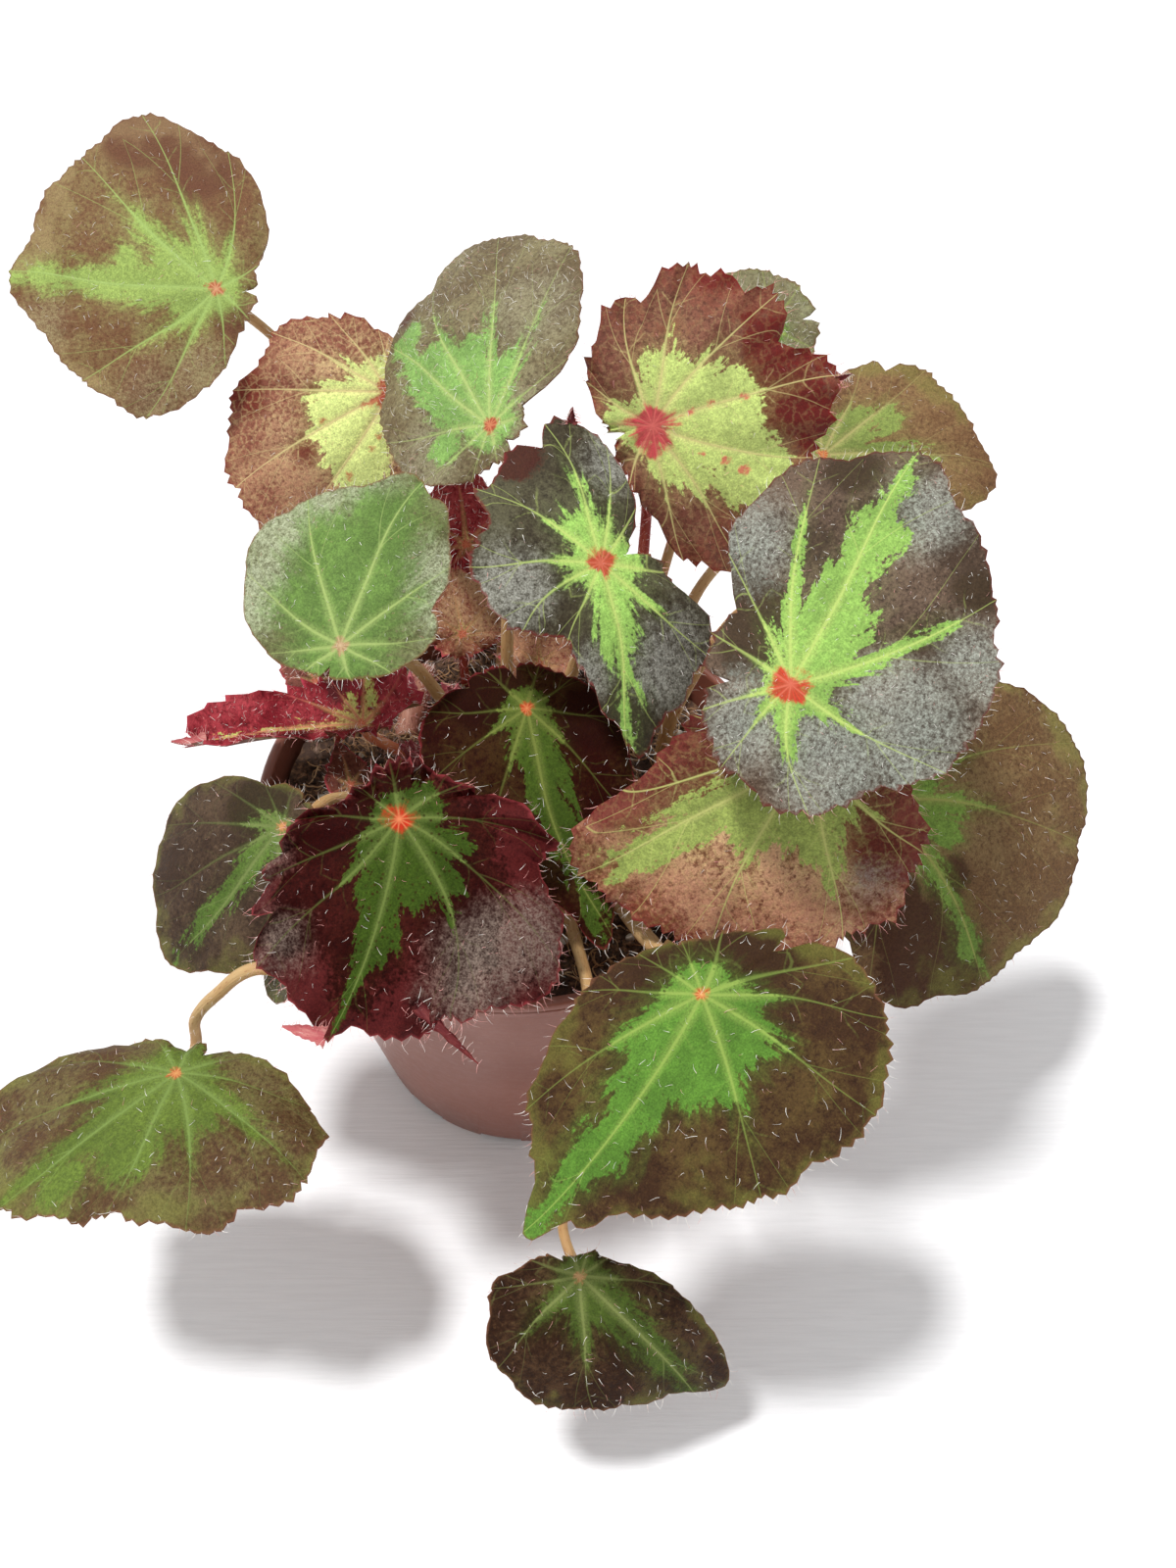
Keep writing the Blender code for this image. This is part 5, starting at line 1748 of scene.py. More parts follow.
LEAVES = (
    # far_left: its pale tan margin patches are painted glare, a highlight laid into the colour.
    Leaf("far_left", (-74, 102, 158), 180, -4, -42, (51, 40, 35, 22, 12, 10, 10, 11, 22, 35, 46, 49),
         (-33, 40), veins((-150, -148), (-115, -92, 0.6, 0.35, 3), (-72, -63, 0.6, 0.5, 3),
         (-36, -42, 0.45, 0.6, 4), (0, -3, 0.8, 1.0, 7), (50, 33, 0.6, 0.5, 3.5), (68, 62, 0.7, 0.4, 3),
         (106, 100), (146, 140)), OLIVE.tinted(base=(126, 88, 62), mottle=(146, 128, 84),
         splash=(162, 186, 98), vein=(176, 204, 116), star=(220, 108, 82), core=(246, 180, 140), film=0.4,
         sheen=(190, 178, 140), star_radius=1.7, heart=0.9, soft=1.6, shade=(112, 72, 54),
         edge=(180, 152, 110), edging=0.35, bold=0.7), Slot.OLIVE, ((-38, 57, 101), (-46, 86, 116),
         (-59, 104, 138)), 0.1, ragged=0.9, nicks=((4, 3, 10), (-64, -3, 12), (-12, 2, 6)),
         splashes=((-18, 23, 3.5),), shades=((-78, 31, 10), (-60, 44, 9), (120, 8, 5)), painted_sheen_spots=((86, 22, 9),
         (60, 30, 8), (12, 43, 6)), tooth=0.7, hair=(0.06, 1.5)),
    # rear_left: its bright salmon and lime include painted glow of light through the blade.
    Leaf("rear_left", (-33, 89, 138), -156, 23, -50, (45, 37, 24, 16, 12, 11, 10, 11, 14, 21, 31, 39),
         (-6, 40), veins((-152, -142), (-118, -114), (-88, -86, 0.6, 0.4, 4), (-60, -60, 0.6, 0.45, 4),
         (-34, -33, 0.5, 0.5, 5), (-8, -2, 0.6, 0.5, 8), (26, 22, 0.6, 0.45, 6), (60, 56), (102, 96),
         (142, 136)), RUSSET.tinted(bold=0.7, base=(150, 92, 74), mottle=(208, 164, 126),
         splash=(240, 255, 156), vein=(240, 218, 154), star=(196, 40, 50), rim=(136, 50, 42), spread=0.5,
         halo=9.0, blush=0.3, net=0.32, shade=(112, 42, 32)), Slot.RUSSET, ((-6, 57, 101), (-16, 76, 110),
         (-24, 89, 118)), 0.08, wave=0.9, ragged=1.3, tooth=1.3, nicks=((0, 3, 3), (14, -4, 6),
         (60, 2, 12), (-44, 3, 8)), splashes=((8, 8, 9), (28, 17, 9), (-10, 14, 8)),
         shades=((-24, 18, 4.5), (-32, 36, 7), (-50, 40, 8), (0, 25, 3)), reds=((-70, 2.5, 1.1),
         (6, 3.5, 1.2), (-2, 5, 1), (-6, 7, 0.8), (-10, 18, 0.9), (30, 23, 1), (38, 14.5, 0.7),
         (42, 11, 0.8)), hair=(0.02, 1.2)),
    Leaf("upper_left", (-5, 46, 158), 128, -2, -38, (50, 33, 24, 16, 11, 9, 8, 8, 10, 27, 48, 60),
         (-4, 26), veins((-136, -130), (-102, -98, 0.6, 0.4), (-73, -60, 0.55, 0.6, 2.6),
         (-42, -36, 0.5, 0.55, 3), (-14, -16, 0.6, 0.7, 3), (4, 0, 0.7, 0.95, 8), (36, 38, 0.6, 0.4, 3),
         (76, 72), (116, 110), (150, 146)), SLATE.tinted(base=(114, 98, 72), mottle=(142, 132, 98),
         splash=(142, 184, 98), vein=(190, 208, 128), star=(200, 62, 56), rim=(122, 84, 62),
         sheen=(162, 156, 132), film=0.5, star_radius=1.7, soft=1.2, shade=(88, 48, 36)),
         Slot.SLATE, ((-3, 34, 122),), 0.12, nicks=((12, 2, 8), (-114, 4, 6), (-24, -3, 8), (-16, 3, 3)),
         splashes=((-2, 44, 5), (-6, 14, 9), (-22, 20, 6), (-2, 28, 7), (56, 12, 4)),
         shades=((-6, 53, 4),), painted_sheen_spots=((56, 16, 9), (-132, 14, 8), (-60, 30, 12)), tooth=0.8,
         hair=(0.16, 1.6)),
    Leaf("sage", (-33, -10, 146), 60, -30, 13, (37, 35, 32, 23, 15, 9, 7, 7, 8, 12, 18, 25), (-14, 14),
         veins((-142, -136), (-96, -92), (-62, -60, 0.6, 0.6, 6), (-26, -25, 0.6, 0.8, 8),
         (8, 5, 0.55, 1.0, 14), (45, 42, 0.5, 0.9, 10), (90, 77, 0.6, 0.6, 6), (126, 120), (156, 150)),
         SLATE.tinted(base=(108, 108, 70), mottle=(130, 134, 92), splash=(112, 144, 72),
         vein=(180, 202, 120), star=(206, 160, 120), core=(222, 186, 150), rim=(132, 88, 62),
         sheen=(190, 198, 164), film=0.95, star_radius=1.4, halo=10.0, soft=5.0, heart=1.0), Slot.GREEN,
         ((-22, 9, 122),), 0.12, wave=0.3, tooth=0.3, ragged=0.3, nicks=((0, 3, 4), (12, -3, 6),
         (-40, 3, 6)), splashes=((28, 18, 11), (12, 30, 7), (60, 12, 8)), painted_sheen_spots=((-26, 22, 10),
         (50, 30, 10), (80, 22, 9), (20, 35, 6)), hair=(0.08, 1.0)),
    Leaf("centre", (18, 3, 156), -80, 34, -11, (32, 32, 27, 12, 8, 19, 32, 29, 24, 25, 22, 17), (8, 18),
         veins((-175, -172, 0.7, 0.6, 3), (-140, -130, 0.7, 0.5, 2.6), (-96, -96, 0.6, 0.4, 2.4),
         (-70, -57, 0.6, 0.4, 2.4), (-32, -29), (8, 6, 0.6, 1.0, 5), (44, 48, 0.6, 0.55, 3), (76, 80),
         (134, 140, 0.6, 0.4), (158, 165, 0.6, 0.5)), SLATE.tinted(bold=0.55, base=(66, 58, 44),
         mottle=(96, 92, 70), splash=(164, 210, 104), soft=0.9, core=(236, 110, 100), rim=(128, 44, 44),
         star_radius=2.4), Slot.SLATE, ((15, 20, 122),), 0.14, wave=0.9, sinus=105, ragged=1.0,
         web=0.55, nicks=((0, 4, 4), (10, -4, 5), (38, 3, 6), (74, 5, 7), (-163, 5, 5), (-128, -3, 4),
         (-10, 4, 5)), splashes=((-156, 8, 4), (100, 5, 4), (6, 14, 4)), shades=((-154, 27, 4.5),),
         painted_sheen_spots=((-78, 19, 7.5), (-14, 22, 4.5), (28, 24, 8), (45, 22, 5), (164, 22, 5)), tooth=1.0,
         hair=(0.05, 1.3)),
    # upper_right: its bright lime and salmon include painted glow of light through the blade.
    Leaf("upper_right", (30, 51, 155), 8, -13, 57, (40, 38, 34, 28, 20, 13, 9, 11, 15, 31, 33, 36),
         (24, 26), veins((-132, -128), (-98, -90, 0.6, 0.5, 4), (-68, -70, 0.6, 0.6, 6),
         (-38, -26, 0.6, 0.65, 9), (8, -2, 0.6, 0.62, 7), (42, 30, 0.55, 0.5, 3.5), (67, 63, 0.6, 0.6, 3),
         (100, 88, 0.5, 0.4), (138, 134), (163, 160)), RUSSET.tinted(base=(124, 76, 62),
         mottle=(156, 108, 86), splash=(210, 230, 132), vein=(228, 216, 144), star=(220, 44, 84),
         core=(236, 110, 110), rim=(128, 32, 28), bold=0.75, star_radius=4.7, halo=7.0, blush=0.35,
         net=0.12, shade=(104, 24, 26)), Slot.RUSSET, ((29, 53, 116),), 0.08, wave=1.2, ruffles=9,
         red_stalk=True, tooth=1.6, ragged=1.8, frill=0.8, web=0.85, nicks=((15, 6, 7), (40, 3, 4),
         (80, 3, 6), (-102, 5, 6), (-78, -5, 5), (-16, -2, 4)), splashes=((-12, 14, 11), (-38, 24, 9),
         (36, 11, 6), (62, 12, 5), (154, 7, 4), (10, 19, 6), (-60, 14, 4)), shades=((-6, 31, 9),
         (-14, 37, 8), (18, 30, 7), (52, 37, 5), (10, 40, 7)), reds=((6, 13.5, 0.7), (2, 21, 0.9),
         (4, 9, 0.6), (-44, 12.5, 0.6), (-40, 18, 0.9), (-40, 22.5, 1.2)), hair=(0.03, 1.3)),
    Leaf("rear_right", (75, 85, 122), -9, 1, 42, (42, 37, 30, 20, 13, 9, 8, 8, 10, 15, 22, 31), (34, 30),
         veins((-132, -130), (-95, -92), (-60, -58), (-26, -26), (11, 5, 0.5, 0.7, 4),
         (44, 48, 0.6, 0.6, 5), (72, 72, 0.6, 0.5, 3), (106, 104), (142, 140)),
         OLIVE.tinted(base=(126, 92, 64), mottle=(150, 120, 82), splash=(142, 160, 84),
         vein=(194, 186, 120)), Slot.OLIVE, ((43, 54, 104), (67, 83, 108)), 0.12, wave=0.4,
         nicks=((48, -2, 6), (62, 3, 3)), splashes=((46, 9, 6), (36, 18, 4)), tooth=0.8, hair=(0.03, 1.3)),
    Leaf("big_right", (53, -31, 156), 58, -29, 6, (51, 43, 21, 17, 16, 18, 20, 24, 24, 32, 37, 43),
         (33, 14), veins((-165, -148, 0.6, 0.6, 4), (-106, -94, 0.6, 0.55, 3), (-52, -38, 0.45, 0.75, 3.5),
         (-2, 1, 0.5, 1.06, 7), (28, 21, 0.7, 0.7, 2.6), (48, 50, 0.7, 0.45, 2.4), (78, 80, 0.7, 0.4),
         (132, 131, 0.7, 0.45), (160, 166, 0.7, 0.5, 3)), SLATE.tinted(base=(78, 62, 50),
         mottle=(118, 98, 82), sheen=(178, 186, 174), bold=0.5, splash=(150, 192, 94),
         vein=(202, 224, 124), star=(222, 42, 46), film=0.78, core=(236, 110, 100), shade=(66, 52, 36),
         star_radius=3.0, halo=5.0), Slot.SLATE, ((48, 16, 130), (55, -12, 148)), 0.12, wave=0.7,
         sinus=110, point=5.0, ragged=0.9, web=0.45, nicks=((20, -3, 8), (46, -4, 6), (60, 3, 5),
         (-20, -2, 6)), splashes=((-14, 15, 6), (-16, 9, 5), (-2, 34, 5), (4, 24, 4)), shades=((54, 13, 6),
         (48, 21, 4), (12, 47, 5), (-34, 40, 5), (66, 9, 4), (44, 16, 5), (24, 9.5, 2.5), (74, 11.5, 4)),
         painted_sheen_spots=((42, 30, 8), (-124, 16, 11), (-84, 21, 12), (-10, 44, 8), (158, 11, 7), (-56, 33, 7),
         (-100, 26, 9)), tooth=1.0, hair=(0.14, 0.8)),
    Leaf("right", (82, -9, 98), -52, 39, 18, (48, 53, 52, 45, 32, 20, 13, 12, 13, 15, 22, 44), (34, 0),
         veins((-152, -150), (-112, -108), (-72, -70), (-33, -30), (10, 5, 0.4, 0.9, 4),
         (65, 49, 0.5, 0.45, 5), (98, 76, 0.6, 0.4, 4), (132, 114), (160, 150)),
         OLIVE.tinted(base=(112, 84, 58), mottle=(134, 110, 76), splash=(118, 148, 68),
         vein=(168, 168, 96), rim=(96, 50, 36), gloss=0.1, halo=4.0, soft=0.8, shade=(66, 38, 28)),
         Slot.DARK, ((60, 0, 98), (74, -4, 92)), 0.14, nicks=((80, -3, 12), (-40, 4, 6), (-18, -3, 6)),
         splashes=((32, 15, 4), (4, 41, 3), (64, 7, 5)), shades=((-10, 39, 15), (-30, 25, 10),
         (10, 25, 6)), hair=(0.05, 1.5)),
    # ruffled_right: its bright salmon and lime include painted glow of light through the blade.
    Leaf("ruffled_right", (58, -29, 136), -162, 17, -39, (50, 44, 40, 37, 30, 19, 14, 12, 11, 12, 16, 25),
         (30, -10), veins((-152, -150), (-112, -110), (-76, -74), (-44, -42, 0.6, 0.2),
         (-14, -12, 0.6, 0.3, 2.5), (12, 3, 0.5, 0.95, 6.5), (38, 39, 0.6, 0.6, 6), (82, 76, 0.6, 0.8, 5),
         (111, 114, 0.6, 0.6, 4), (142, 146)), RUSSET.tinted(base=(122, 66, 48), mottle=(212, 166, 128),
         splash=(156, 172, 90), vein=(210, 212, 128), rim=(128, 42, 46), halo=9.0, star_radius=1.8,
         net=0.15, bold=0.75, shade=(92, 34, 26), film=0.6), Slot.RUSSET, ((52, -6, 116),), 0.09, wave=1.5,
         ruffles=10, tooth=1.6, ragged=1.8, frill=0.9, web=0.45, nicks=((4, 3, 10), (104, 3, 4),
         (132, 3, 8), (-15, 6, 6), (-40, -3, 4)), splashes=((10, 38, 2.5), (8, 27, 5), (9, 33, 3.5),
         (9, 43, 2), (26, 15, 8), (72, 16, 6), (50, 12, 7), (94, 12, 5)), shades=((-22, 19.5, 8),
         (-16, 27.5, 7), (-12, 38, 7), (-16, 33, 8), (-22, 20, 9), (110, 24, 9), (120, 14, 8),
         (-30, 30, 6)), painted_sheen_spots=((92, 29, 4),), hair=(0.02, 1.3)),
    Leaf("front_right", (37, -72, 116), -134, 25, -8, (48, 39, 37, 37, 34, 25, 16, 11, 11, 14, 21, 33),
         (18, -24), veins((-165, -160), (-125, -120), (-88, -85), (-56, -54, 0.7, 0.35, 3),
         (-27, -21, 0.6, 0.5, 5), (12, -2, 0.7, 1.1, 7), (60, 54, 0.6, 0.65, 5), (99, 94, 0.6, 0.5, 4),
         (128, 124, 0.7, 0.4, 3), (147, 144)), OLIVE.tinted(base=(70, 48, 33), mottle=(94, 74, 45),
         splash=(98, 142, 56), vein=(160, 186, 92), spread=0.5, soft=0.6, heart=1.0, gloss=0.1,
         shade=(62, 42, 28)), Slot.OLIVE, ((27, -46, 99),), 0.14, wave=0.4, sinus=160, point=8.0,
         stalk=1.7, ragged=1.3, web=0.85, nicks=((5, 5, 3.5), (-7, 4.5, 3.5), (14, 1.5, 5), (-22, -2, 6),
         (70, 1.5, 6), (48, -1, 5), (144, -2, 6)), splashes=((4, 24, 6), (24, 12, 7), (62, 12, 5),
         (4, 34, 4)), shades=((170, 12, 8), (-100, 10, 9)), tooth=0.9, hair=(0.05, 1.9)),
    Leaf("front_low", (14, -101, 58), -31, 30, 28, (41, 21, 12, 8, 7, 7, 8, 12, 19, 25, 29, 31), (9, -24),
         veins((-156, -156), (-128, -131, 0.6), (-95, -90, 0.6, 0.55, 3), (-48, -40, 0.6, 0.6, 4),
         (-3, -7, 0.6, 0.95, 5), (36, 30, 0.6, 0.4, 3), (72, 68), (112, 110), (148, 146)),
         OLIVE.tinted(gloss=0.08, base=(54, 34, 22), mottle=(84, 62, 44), splash=(80, 98, 42),
         vein=(142, 152, 90), star=(206, 150, 100), core=(222, 178, 130), halo=4.5, soft=1.2), Slot.DARK,
         ((13, -42, 91.5), (16, -60, 96.5), (16.5, -80, 91), (15, -92, 76), (12.5, -88.5, 66),
         (10.5, -91, 58.5)), 0.16, curl=((110, 0.6),), point=4.0, stalk=1.2, nicks=((60, 5, 26),
         (140, 4, 45), (-136, -2, 8), (-10, 4, 6)), hair=(0.07, 1.6)),
    Leaf("left_low", (-70, -66, 76), -131, -8, 9, (38, 33, 35, 37, 28, 16, 10, 8, 9, 17, 33, 41),
         (-14, -24), veins((-152, -146), (-112, -106), (-70, -62, 0.6, 0.35, 3), (-36, -38, 0.6, 0.5, 5),
         (1, -11, 0.6, 1.0, 8), (34, 25, 0.6, 0.6, 6), (67, 54, 0.6, 0.6, 4), (98, 93, 0.5, 0.75, 4),
         (125, 122, 0.7, 0.4, 3), (152, 150)), OLIVE.tinted(base=(94, 68, 46), mottle=(116, 104, 66),
         splash=(106, 126, 54), vein=(134, 158, 84), star=(226, 104, 66), halo=8.0, soft=2.0, heart=0.8,
         star_radius=1.3, shade=(116, 78, 54)), Slot.OLIVE, ((-23, -39, 92), (-31, -51, 96.5),
         (-42, -54.5, 97.5), (-52, -54, 98), (-61, -54, 89), (-68, -53.5, 78), (-69.5, -55.5, 69)), 0.16,
         wave=1.2, ragged=0.9, web=0.8, nicks=((4, 4, 8), (28, 3, 8), (72, 3, 6), (112, -3, 6),
         (-54, -6, 7), (-16, -3, 5)), splashes=((20, 18, 8), (2, 30, 5)), tooth=0.8, hair=(0.05, 1.3)),
    Leaf("left_grey", (-48, -26, 109), -138, 31, -5, (37, 30, 20, 13, 9, 8, 8, 9, 12, 20, 33, 37),
         (-27, -2), veins((-152, -150), (-114, -112), (-84, -80), (-56, -56, 0.6),
         (-24, -32, 0.7, 0.2, 1.2), (2, -7, 0.45, 1.0, 4.5), (36, 34), (72, 70), (108, 106), (148, 146)),
         OLIVE.tinted(base=(68, 52, 42), mottle=(94, 76, 60), splash=(96, 122, 56), vein=(128, 142, 84),
         star=(214, 128, 90), halo=2.2, soft=0.5, glow=0.05, bold=0.22, gloss=0.1, shade=(60, 50, 34)),
         Slot.SLATE, ((-40, -12, 102),), 0.12, wave=0.3, tooth=0.35, ragged=0.3, web=0.4,
         nicks=((60, 5, 28), (110, 3, 28), (4, 3, 8), (-110, 3, 18), (-14, -4, 8)), shades=((-84, 8, 7),),
         hair=(0.05, 1.2)),
    Leaf("front_left", (-21, -38, 126), -111, 29, -9, (42, 41, 43, 28, 19, 12, 12, 12, 10, 14, 26, 39),
         (-8, -14), veins((-152, -150), (-112, -110), (-74, -74, 0.6), (-46, -50),
         (-20, -27, 0.6, 0.4, 5), (14, 0, 0.7, 0.95, 6), (58, 34, 0.6, 0.55, 6), (86, 64, 0.5, 0.4, 4),
         (116, 102), (146, 140)), DARK.tinted(base=(48, 12, 10), mottle=(66, 26, 22), splash=(64, 84, 30),
         vein=(120, 136, 72), dotted=9.0, spread=0.6, sheen=(150, 134, 122), film=0.85, rim=(150, 62, 66),
         star_radius=2.2, heart=0.9, blush=0.2), Slot.DARK, ((-16, -24, 108),), 0.12, wave=1.6, ruffles=10,
         tooth=0.9, ragged=2.0, frill=1.6, web=0.75, nicks=((-96, 2, 7), (-62, 2, 7), (-48, 2, 5),
         (-36, 7, 2.5), (-20, 1.5, 6), (5, 4, 4), (18, -1.5, 5), (33, 3, 5), (44, 2, 6), (78, -4.5, 3),
         (101, -6.5, 6), (113, -5, 6)), splashes=((6, 6, 5), (52, 14, 5), (10, 23, 4), (120, 6, 3),
         (86, 12, 3), (150, 6, 3.5)), painted_sheen_spots=((-60, 27, 3), (-28, 33, 4), (52, 31, 8), (66, 35, 6),
         (40, 36, 6))),
    Leaf("heart", (3, -10, 128), -69, 26, 1, (47, 30, 21, 15, 11, 10, 10, 12, 17, 23, 28, 35), (1, 4),
         veins((-152, -150), (-103, -103, 0.6), (-72, -69, 0.6, 0.35, 3), (-35, -34, 0.6, 0.4, 3),
         (-8, 1, 0.7, 1.0, 6), (30, 27, 0.6, 0.35, 3), (69, 67), (106, 106), (148, 146)),
         DARK.tinted(base=(50, 17, 10), mottle=(68, 46, 26), splash=(74, 94, 36), vein=(132, 142, 72),
         star=(228, 80, 50), core=(244, 150, 100), star_radius=1.2, halo=4.5, heart=1.0,
         shade=(44, 15, 10)), Slot.DARK, ((1, 2, 108),), 0.06, wave=0.5, point=5.0, nicks=((-6, 4, 4),
         (6, 3, 4), (10, 3, 5), (-128, 3, 6), (-9, 4, 6)), splashes=((0, 14, 5),), shades=((-128, 10, 8),
         (60, 14, 7)), hair=(0.06, 1.5)),
    Leaf("folded_red", (-35, 6, 106), 178, 8, 0, (38, 16, 10, 8, 7, 7, 8, 10, 12, 12, 12, 17), (-24, 13),
         veins((-142, -140), (-98, -94), (-56, -50), (-24, -20), (0, 0, 0.9, 0.75, 0.9), (24, 20),
         (56, 50), (98, 94), (142, 140)), YOUNG_RED.tinted(base=(126, 24, 36), mottle=(178, 66, 74),
         splash=(196, 204, 110), halo=2.0), Slot.RED, ((-30, 9, 96),), 0.0, fold=0.8, wave=1.0, ruffles=9,
         red_stalk=True, young=True, tooth=2.2, ragged=2.4, frill=0.8, splashes=((-116, 5, 1.6),
         (-100, 8, 1.2), (-60, 5, 1.4)), shades=((-60, 12, 5), (20, 16, 5)), nicks=((-50, 2.5, 5),
         (-100, 2, 6), (-20, 5, 5), (-6, -2, 4), (-80, -2, 14), (-154, -4, 20))),
    Leaf("far_behind", (60, 98, 150), 190, 10, -42, (26, 22, 18, 15, 13, 12, 12, 12, 13, 15, 18, 22),
         (30, 40), YOUNG_VEINS, OLIVE.tinted(base=(132, 124, 92), mottle=(152, 150, 116), halo=4.0),
         Slot.OLIVE, ((34, 52, 112), (50, 96, 128)), 0.12, stalk=1.2, young=True, ragged=0.8),
    Leaf("grey_tip", (-41, -39, 100), -133, 40, 0, (22, 15, 11, 9, 7, 6, 6, 6, 7, 9, 11, 15), (-22, -20),
         YOUNG_VEINS, OLIVE.tinted(base=(88, 78, 66), mottle=(112, 106, 88), halo=3.0, star_radius=0.9),
         Slot.SLATE, ((-33, -31, 99),), 0.1, stalk=1.0, young=True),
    Leaf("young_tall", (-14, 58, 116), 100, -62, 0, (20, 14, 11, 10, 9, 9, 9, 9, 9, 10, 11, 14), (-14, 50),
         YOUNG_VEINS, YOUNG_RED, Slot.RED, ((-14, 60, 105),), 0.1, fold=0.3, wave=0.9, ruffles=6,
         stalk=1.1, red_stalk=True, young=True, tooth=0.7, ragged=1.0, frill=0.5),
    Leaf("young_mid", (-15, 42, 101), 105, -52, 0, (14, 12, 10, 8, 7, 6, 6, 6, 8, 10, 13, 15), (-15, 40),
         YOUNG_VEINS, YOUNG_RED.tinted(base=(150, 78, 62), mottle=(204, 164, 124)), Slot.RED, (), 0.1,
         fold=0.3, wave=0.9, ruffles=6, stalk=1.1, red_stalk=True, young=True, tooth=0.7, ragged=0.9,
         frill=0.5),
    Leaf("young_heart", (4, 33, 99), 95, -48, 0, (12, 11, 10, 9, 7, 5, 4, 5, 7, 9, 10, 11), (4, 32),
         YOUNG_VEINS, YOUNG_RED.tinted(base=(150, 56, 58), mottle=(196, 146, 112)), Slot.RED, (), 0.1,
         fold=0.2, wave=1.0, ruffles=6, stalk=1.1, red_stalk=True, young=True, tooth=0.7, ragged=0.8,
         frill=0.5),
    Leaf("young_left", (-38, -3, 96), 110, -30, 0, (9, 7, 6, 5, 4, 3, 3, 3, 4, 5, 6, 7), (-38, -3),
         YOUNG_VEINS, YOUNG_RED.tinted(base=(96, 44, 34), mottle=(130, 84, 66)), Slot.RUSSET, (), 0.1,
         wave=0.4, ruffles=5, stalk=1.0, red_stalk=True, young=True),
    Leaf("young_rear", (-48, 22, 104), 130, -35, 0, (12, 9, 7, 6, 5, 4, 4, 4, 5, 6, 7, 9), (-44, 18),
         YOUNG_VEINS, YOUNG_RED.tinted(base=(100, 46, 38), mottle=(138, 84, 72)), Slot.RUSSET, (), 0.1,
         wave=0.5, ruffles=5, stalk=1.0, red_stalk=True, young=True),
)

CURLS = (
    Curl("tip", "front_left", -1.0, 0.98, 9.0, 2.2, veer=-84.0, lift=5.0, roll=40.0, pale=True),
    Curl("flap", "front_left", 23.0, 0.86, 17.0, 3.0, veer=42.0, lift=-12.0, roll=110.0),
    Curl("knob", "centre", 180.0, 0.98, 4.5, 1.9, lift=100.0, roll=90.0),
    Curl("twist", "upper_right", -2.0, 0.97, 4.0, 1.3, veer=10.0, lift=50.0, roll=90.0),
    Curl("beak", "folded_red", 3.0, 0.9, 8.0, 2.4, veer=8.0, lift=35.0, roll=60.0, pale=True),
)


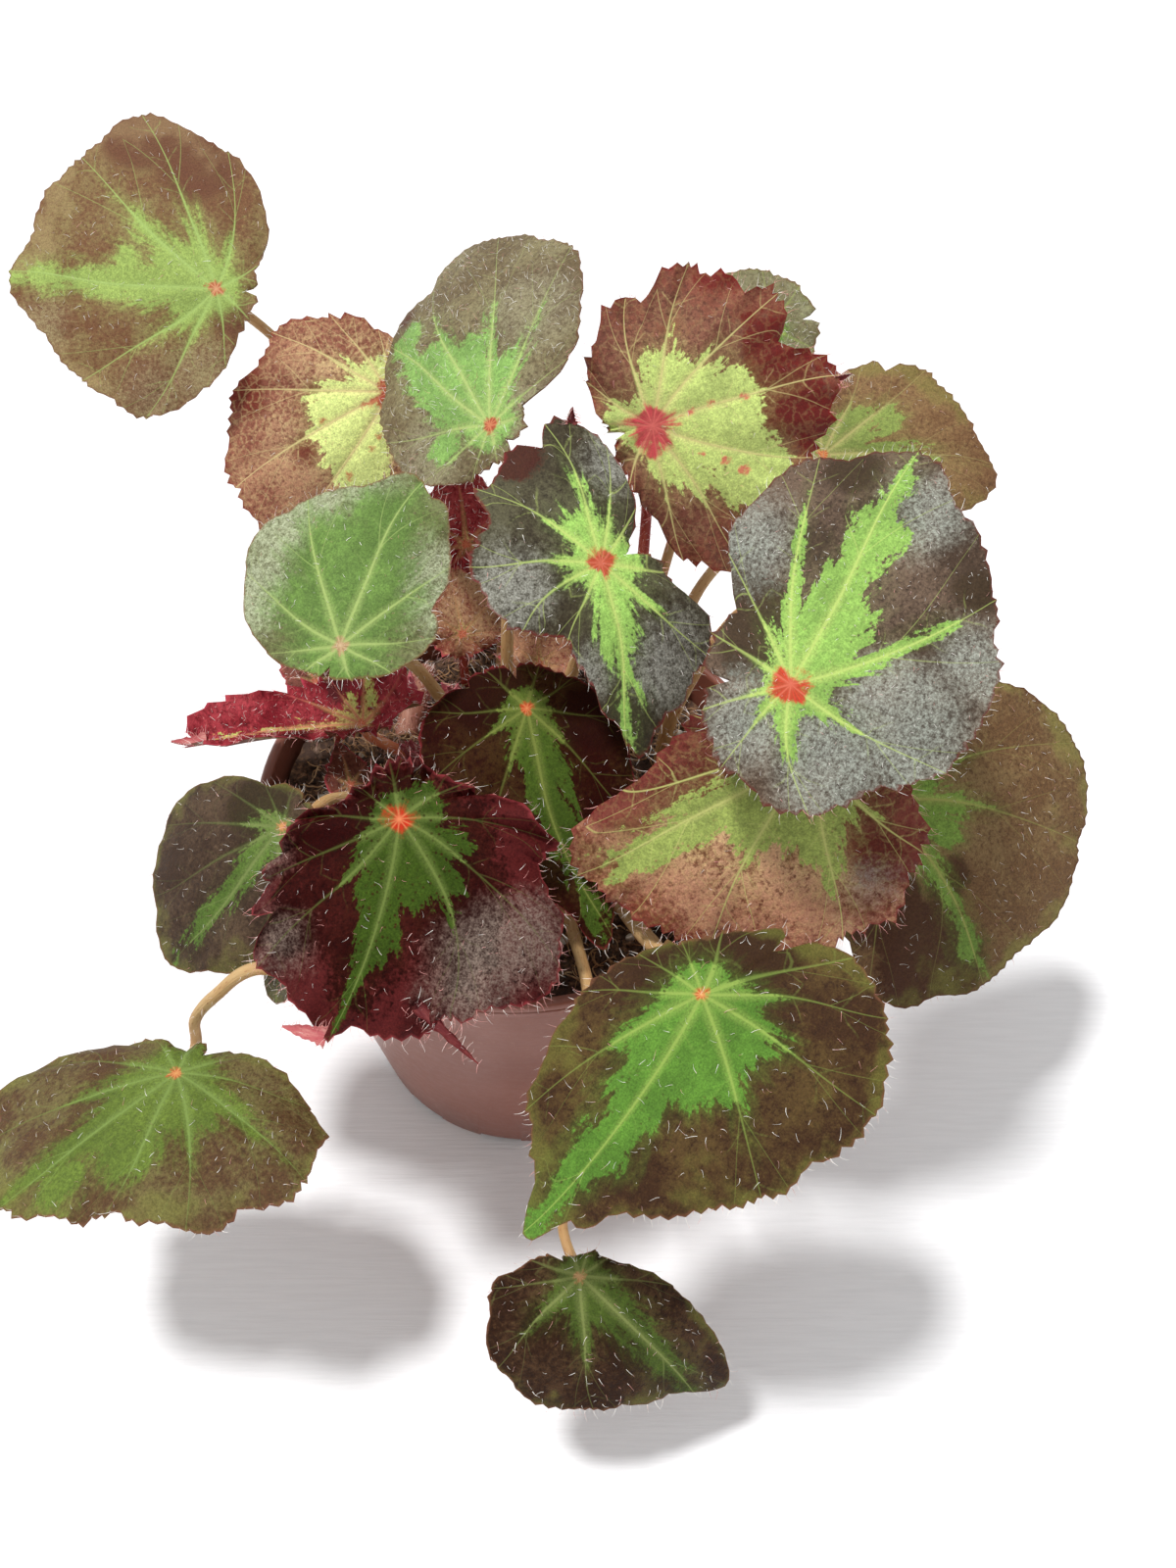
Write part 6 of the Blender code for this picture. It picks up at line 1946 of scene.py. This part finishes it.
@dataclass
class Plant:
    """Every leaf with its stalk and hairs, and the creeping stem.

    Attributes:
        coat: The tree that grows hairs.
        young_hairs: Hairs per square millimetre of a young blade.
        phases: Where each leaf's ruffles start.
    """

    coat: HairCoat = field(default_factory=HairCoat)
    young_hairs: float = 0.28
    phases: list[float] = field(default_factory=list)

    def build(self) -> None:
        """Build the leaves, then the creeping stem and the curled ends."""
        white = HairFinish().dress("white_hairs")
        pink = HairFinish(warm=paint(232, 158, 152, 0.95), share=0.8).dress("pink_hairs")
        self.leaves(white, pink)
        self.creeping_stem(pink)
        self.curls(pink)

    def leaves(self, white: bpy.types.Material, pink: bpy.types.Material) -> None:
        """Build the leaves one after the other, with the ruffles drawn in the model's order.

        Args:
            white: Finish of most hairs.
            pink: Finish of the hairs of frilled blades and red stalks.
        """
        random.seed(SEED)
        tan = StalkFinish(paint(196, 150, 96), paint(214, 178, 124), paint(150, 84, 52)).dress("tan_stalk")
        red = StalkFinish(paint(158, 44, 36), paint(196, 96, 74), paint(120, 20, 22)).dress("red_stalk")
        # Brighter copy of the red stalk for folded_red: partly its own orange-red, partly painted light that
        # offsets the shade of its blade.
        bright = StalkFinish(paint(240, 132, 92), paint(250, 176, 128), paint(190, 56, 48))
        bright = bright.dress("bright_stalk")
        for index, leaf in enumerate(LEAVES):
            self.phases.append(random.uniform(0.0, 2.0 * math.pi))
            blade = Blade(leaf, self.phases[-1], index)
            if leaf.young:
                blade = replace(blade, pitch=1.0, rings=14, pucker=0.5)
            skin = blade.build()
            skin.data.materials.append(leaf.finish.dress("skin_" + leaf.name))
            frilled = leaf.frill > FRILLED
            density, length = (self.young_hairs, 1.2) if leaf.young else leaf.hair
            fur = Fur(density * 1.6, length, edge=2.2 if frilled else 1.7, radius=0.055, tilt=62.0)
            hairs = self.coat.grow("hairs_" + leaf.name, skin, fur, index, pink if frilled else white)
            stem = Stalk(leaf).build()
            ruddy = bright if leaf.name == "folded_red" else red
            stem.data.materials.append(ruddy if leaf.red_stalk else tan)
            stalk_slot = Slot.STALK_RED if leaf.red_stalk else Slot.STALK_TAN
            finish_piece(skin, leaf.slot, "leaf_" + leaf.name)
            finish_piece(hairs, leaf.slot)
            finish_piece(stem, stalk_slot, "stalk_" + leaf.name)
            fur = Fur(0.8 if leaf.red_stalk else 0.12, 1.6, radius=0.05, tilt=50.0)
            fuzz = self.coat.grow("fuzz_" + leaf.name, stem, fur, index + STALK_HAIR_SEED,
                                  pink if leaf.red_stalk else white)
            finish_piece(fuzz, stalk_slot)

    def creeping_stem(self, pink: bpy.types.Material) -> None:
        """Build the creeping stem, its buds and their hairs."""
        creeping = Rhizome().build()
        bark = StalkFinish(paint(150, 92, 74), paint(186, 130, 108), paint(96, 40, 34), 0.9)
        creeping.data.materials.append(bark.dress("creeping_skin"))
        finish_piece(creeping, Slot.RHIZOME, "rhizome")
        buds = Rhizome().sprout()
        scales = StalkFinish(paint(168, 60, 76), paint(214, 128, 136), paint(120, 24, 40)).dress("bud_skin")
        buds.data.materials.append(scales)
        finish_piece(buds, Slot.RHIZOME)
        for name, source in (("stem_hairs", creeping), ("bud_hairs", buds)):
            finish_piece(self.coat.grow(name, source, Fur(0.9, 1.7), STEM_HAIR_SEED, pink), Slot.RHIZOME)

    def curls(self, pink: bpy.types.Material) -> None:
        """Build the curled ends of blades, each with its tuft of hairs."""
        pale = StalkFinish(paint(196, 92, 96), paint(222, 150, 140), paint(140, 40, 48)).dress("pink_tissue")
        dark = StalkFinish(paint(108, 24, 30), paint(150, 70, 66), paint(64, 14, 18)).dress("dark_tissue")
        rows = {leaf.name: (leaf, phase) for leaf, phase in zip(LEAVES, self.phases)}
        for curl in CURLS:
            leaf, phase = rows[curl.leaf]
            flap = curl.build(leaf, phase)
            flap.data.materials.append(pale if curl.pale else dark)
            finish_piece(flap, leaf.slot)
            tuft = Fur(0.25, 1.2, edge=1.7)
            tufts = self.coat.grow("tuft_" + curl.name, flap, tuft, CURL_HAIR_SEED, pink)
            finish_piece(tufts, leaf.slot)


@dataclass
class Holder:
    """The pot and what fills it."""

    pot: Pot = field(default_factory=Pot)
    soil: Soil = field(default_factory=Soil)

    def build(self) -> None:
        """Build the pot, the mix and what lies on it."""
        pot = self.pot.build()
        pot.data.materials.append(self.pot.dress())
        finish_piece(pot, Slot.POT, "pot")
        peat = GritFinish(paint(68, 47, 35), paint(168, 126, 92)).dress("peat")
        mix = self.soil.build()
        mix.data.materials.append(peat)
        finish_piece(mix, Slot.SOIL, "soil")
        litter = Litter()
        crumbs = GritFinish(paint(62, 43, 32), paint(180, 136, 100), 900.0).dress("crumbs")
        bark = GritFinish(paint(88, 66, 52), paint(142, 116, 96), 500.0).dress("bark")
        perlite = GritFinish(paint(206, 196, 178), paint(240, 234, 222), 600.0, 0.8, 0.0004).dress("perlite")
        for name, density, size, lumps, fineness, finish in (
                ("crumbs_coarse", 0.06, (1.5, 1.2, 0.9), 1.0, 2, crumbs),
                ("crumbs_fine", 0.22, (0.75, 0.6, 0.5), 0.9, 1, crumbs),
                ("bark_chips", 0.012, (2.6, 1.2, 0.5), 0.6, 2, bark),
                ("perlite_grains", 0.006, (1.3, 1.1, 0.9), 0.7, 2, perlite)):
            bits = litter.scatter(name, mix, density, size, lumps, fineness, finish)
            finish_piece(bits, Slot.SOIL)
        strands = self.soil.strands()
        fibre = GritFinish(paint(176, 134, 92), paint(236, 204, 160), 500.0)
        strands.data.materials.append(fibre.dress("fibre"))
        finish_piece(strands, Slot.SOIL)


def main() -> None:
    """Load the frame, build every piece and note the sizes."""
    logging.basicConfig(level=logging.INFO, format="%(name)s %(message)s")
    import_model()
    Studio().build()
    Holder().build()
    Plant().build()


if __name__ == "__main__":
    main()
